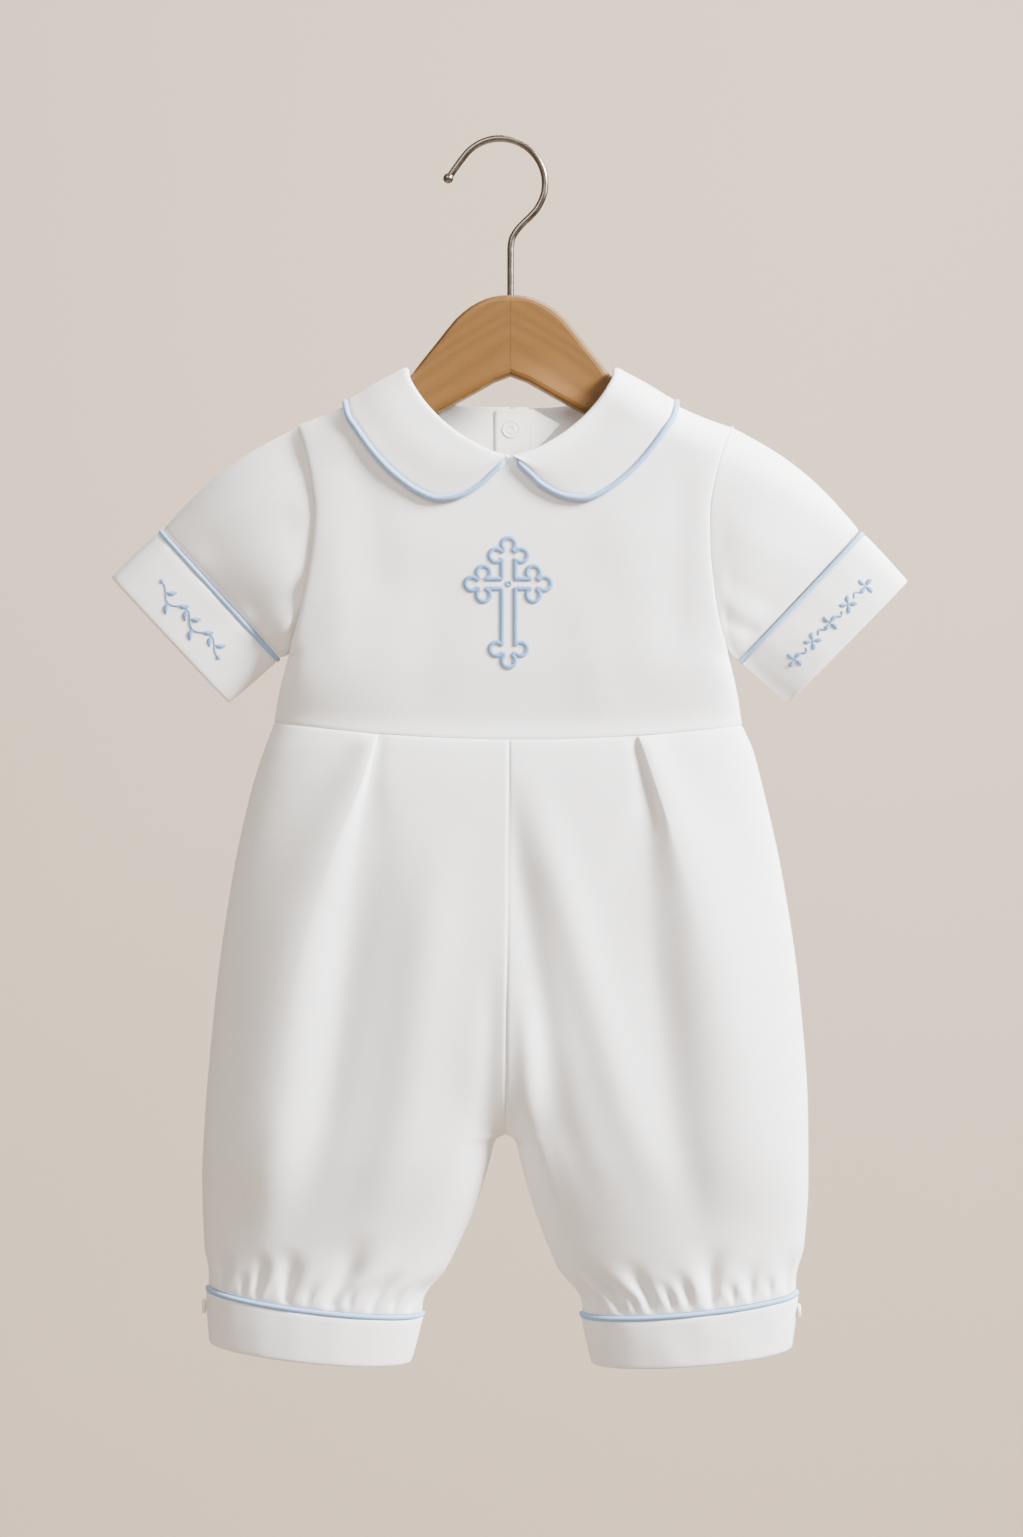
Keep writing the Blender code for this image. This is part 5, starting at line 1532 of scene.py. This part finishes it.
class RomperStageSettings(bpy.types.PropertyGroup):
    wall_colour: bpy.props.FloatVectorProperty(
        name="Backdrop", description="Colour of the plain backdrop", subtype="COLOR", min=0, max=1,
        default=(0.66, 0.545, 0.44))
    key_power: bpy.props.FloatProperty(
        name="Key light", description="Power of the key light", default=430.0, min=0.0, unit="POWER")
    fill_power: bpy.props.FloatProperty(
        name="Fill light", description="Power of the fill light", default=40.0, min=0.0, unit="POWER")
    neck_power: bpy.props.FloatProperty(
        name="Neck light", description="Power of the narrow light on the neck", default=280.0, min=0.0,
        unit="POWER")
    back_power: bpy.props.FloatProperty(
        name="Back light", description="Power of the light from behind", default=12.0, min=0.0, unit="POWER")
    wall_power: bpy.props.FloatProperty(
        name="Backdrop light", description="Power of the light on the backdrop", default=198.0, min=0.0,
        unit="POWER")
    sky: bpy.props.FloatProperty(
        name="Room light", description="Strength of the even light from all sides", default=0.40, min=0.0)


class ROMPER_OT_hanger(bpy.types.Operator):
    """Makes the wire hook and gives the wooden arms their grain"""
    bl_idname = "romper.hanger"
    bl_label = "Hanger"

    def execute(self, context):
        make_hook()
        make_wood()
        return {"FINISHED"}


class ROMPER_OT_bodice(bpy.types.Operator):
    """Makes the front and back of the bodice"""
    bl_idname = "romper.bodice"
    bl_label = "Bodice"

    def execute(self, context):
        make_bodice()
        return {"FINISHED"}


class ROMPER_OT_placket(bpy.types.Operator):
    """Makes the lap strip inside the back neck and its snap"""
    bl_idname = "romper.placket"
    bl_label = "Lap strip and snap"

    def execute(self, context):
        make_placket()
        return {"FINISHED"}


class ROMPER_OT_collar(bpy.types.Operator):
    """Makes both collar pieces and their piping"""
    bl_idname = "romper.collar"
    bl_label = "Collar"

    def execute(self, context):
        for word, side in SIDES.items():
            make_collar(word, side)
        return {"FINISHED"}


class ROMPER_OT_sleeves(bpy.types.Operator):
    """Makes the sleeves, their cuffs and the piping between them"""
    bl_idname = "romper.sleeves"
    bl_label = "Sleeves"

    def execute(self, context):
        for word, side in SIDES.items():
            make_sleeve(word, side)
            make_sleeve_cuff(word, side)
        return {"FINISHED"}


class ROMPER_OT_trousers(bpy.types.Operator):
    """Makes the four trouser panels with their pleats, folds and gathers"""
    bl_idname = "romper.trousers"
    bl_label = "Trousers"

    def execute(self, context):
        for word, side in SIDES.items():
            for label, face in FACES.items():
                make_leg(word, side, label, face)
        return {"FINISHED"}


class ROMPER_OT_leg_cuffs(bpy.types.Operator):
    """Makes the leg cuffs, their piping and their buttons"""
    bl_idname = "romper.leg_cuffs"
    bl_label = "Leg cuffs"

    def execute(self, context):
        for word, side in SIDES.items():
            make_leg_cuff(word, side)
        return {"FINISHED"}


class ROMPER_OT_embroidery(bpy.types.Operator):
    """Makes the satin stitches of the cross and of the cuffs' ornaments"""
    bl_idname = "romper.embroidery"
    bl_label = "Embroidery"

    def execute(self, context):
        make_cross()
        make_cuff_ornaments()
        return {"FINISHED"}


class ROMPER_OT_stage(bpy.types.Operator):
    """Makes the plain backdrop, the lights and the camera"""
    bl_idname = "romper.stage"
    bl_label = "Stage"

    def execute(self, context):
        make_stage()
        return {"FINISHED"}


OPERATORS = (
    ROMPER_OT_stage,
    ROMPER_OT_hanger,
    ROMPER_OT_bodice,
    ROMPER_OT_placket,
    ROMPER_OT_collar,
    ROMPER_OT_sleeves,
    ROMPER_OT_trousers,
    ROMPER_OT_leg_cuffs,
    ROMPER_OT_embroidery,
)


class ROMPER_PT_panel(bpy.types.Panel):
    """The romper's sizes and colours, and a button for each of its pieces"""
    bl_idname = "ROMPER_PT_panel"
    bl_label = "Baptism romper"
    bl_space_type = "VIEW_3D"
    bl_region_type = "UI"
    bl_category = "Romper"

    def draw(self, context):
        for settings in (context.scene.romper_cloth, context.scene.romper_stage):
            for name in settings.__annotations__:
                self.layout.prop(settings, name)
        for operator in OPERATORS:
            self.layout.operator(operator.bl_idname)


CLASSES = (RomperClothSettings, RomperStageSettings, *OPERATORS, ROMPER_PT_panel)


def register():
    for cls in CLASSES:
        bpy.utils.register_class(cls)
    bpy.types.Scene.romper_cloth = bpy.props.PointerProperty(type=RomperClothSettings)
    bpy.types.Scene.romper_stage = bpy.props.PointerProperty(type=RomperStageSettings)


def unregister():
    del bpy.types.Scene.romper_stage
    del bpy.types.Scene.romper_cloth
    for cls in reversed(CLASSES):
        bpy.utils.unregister_class(cls)


def main():
    register()
    for operator in OPERATORS:
        group, name = operator.bl_idname.split(".")
        getattr(getattr(bpy.ops, group), name)()


if __name__ == "__main__":
    main()
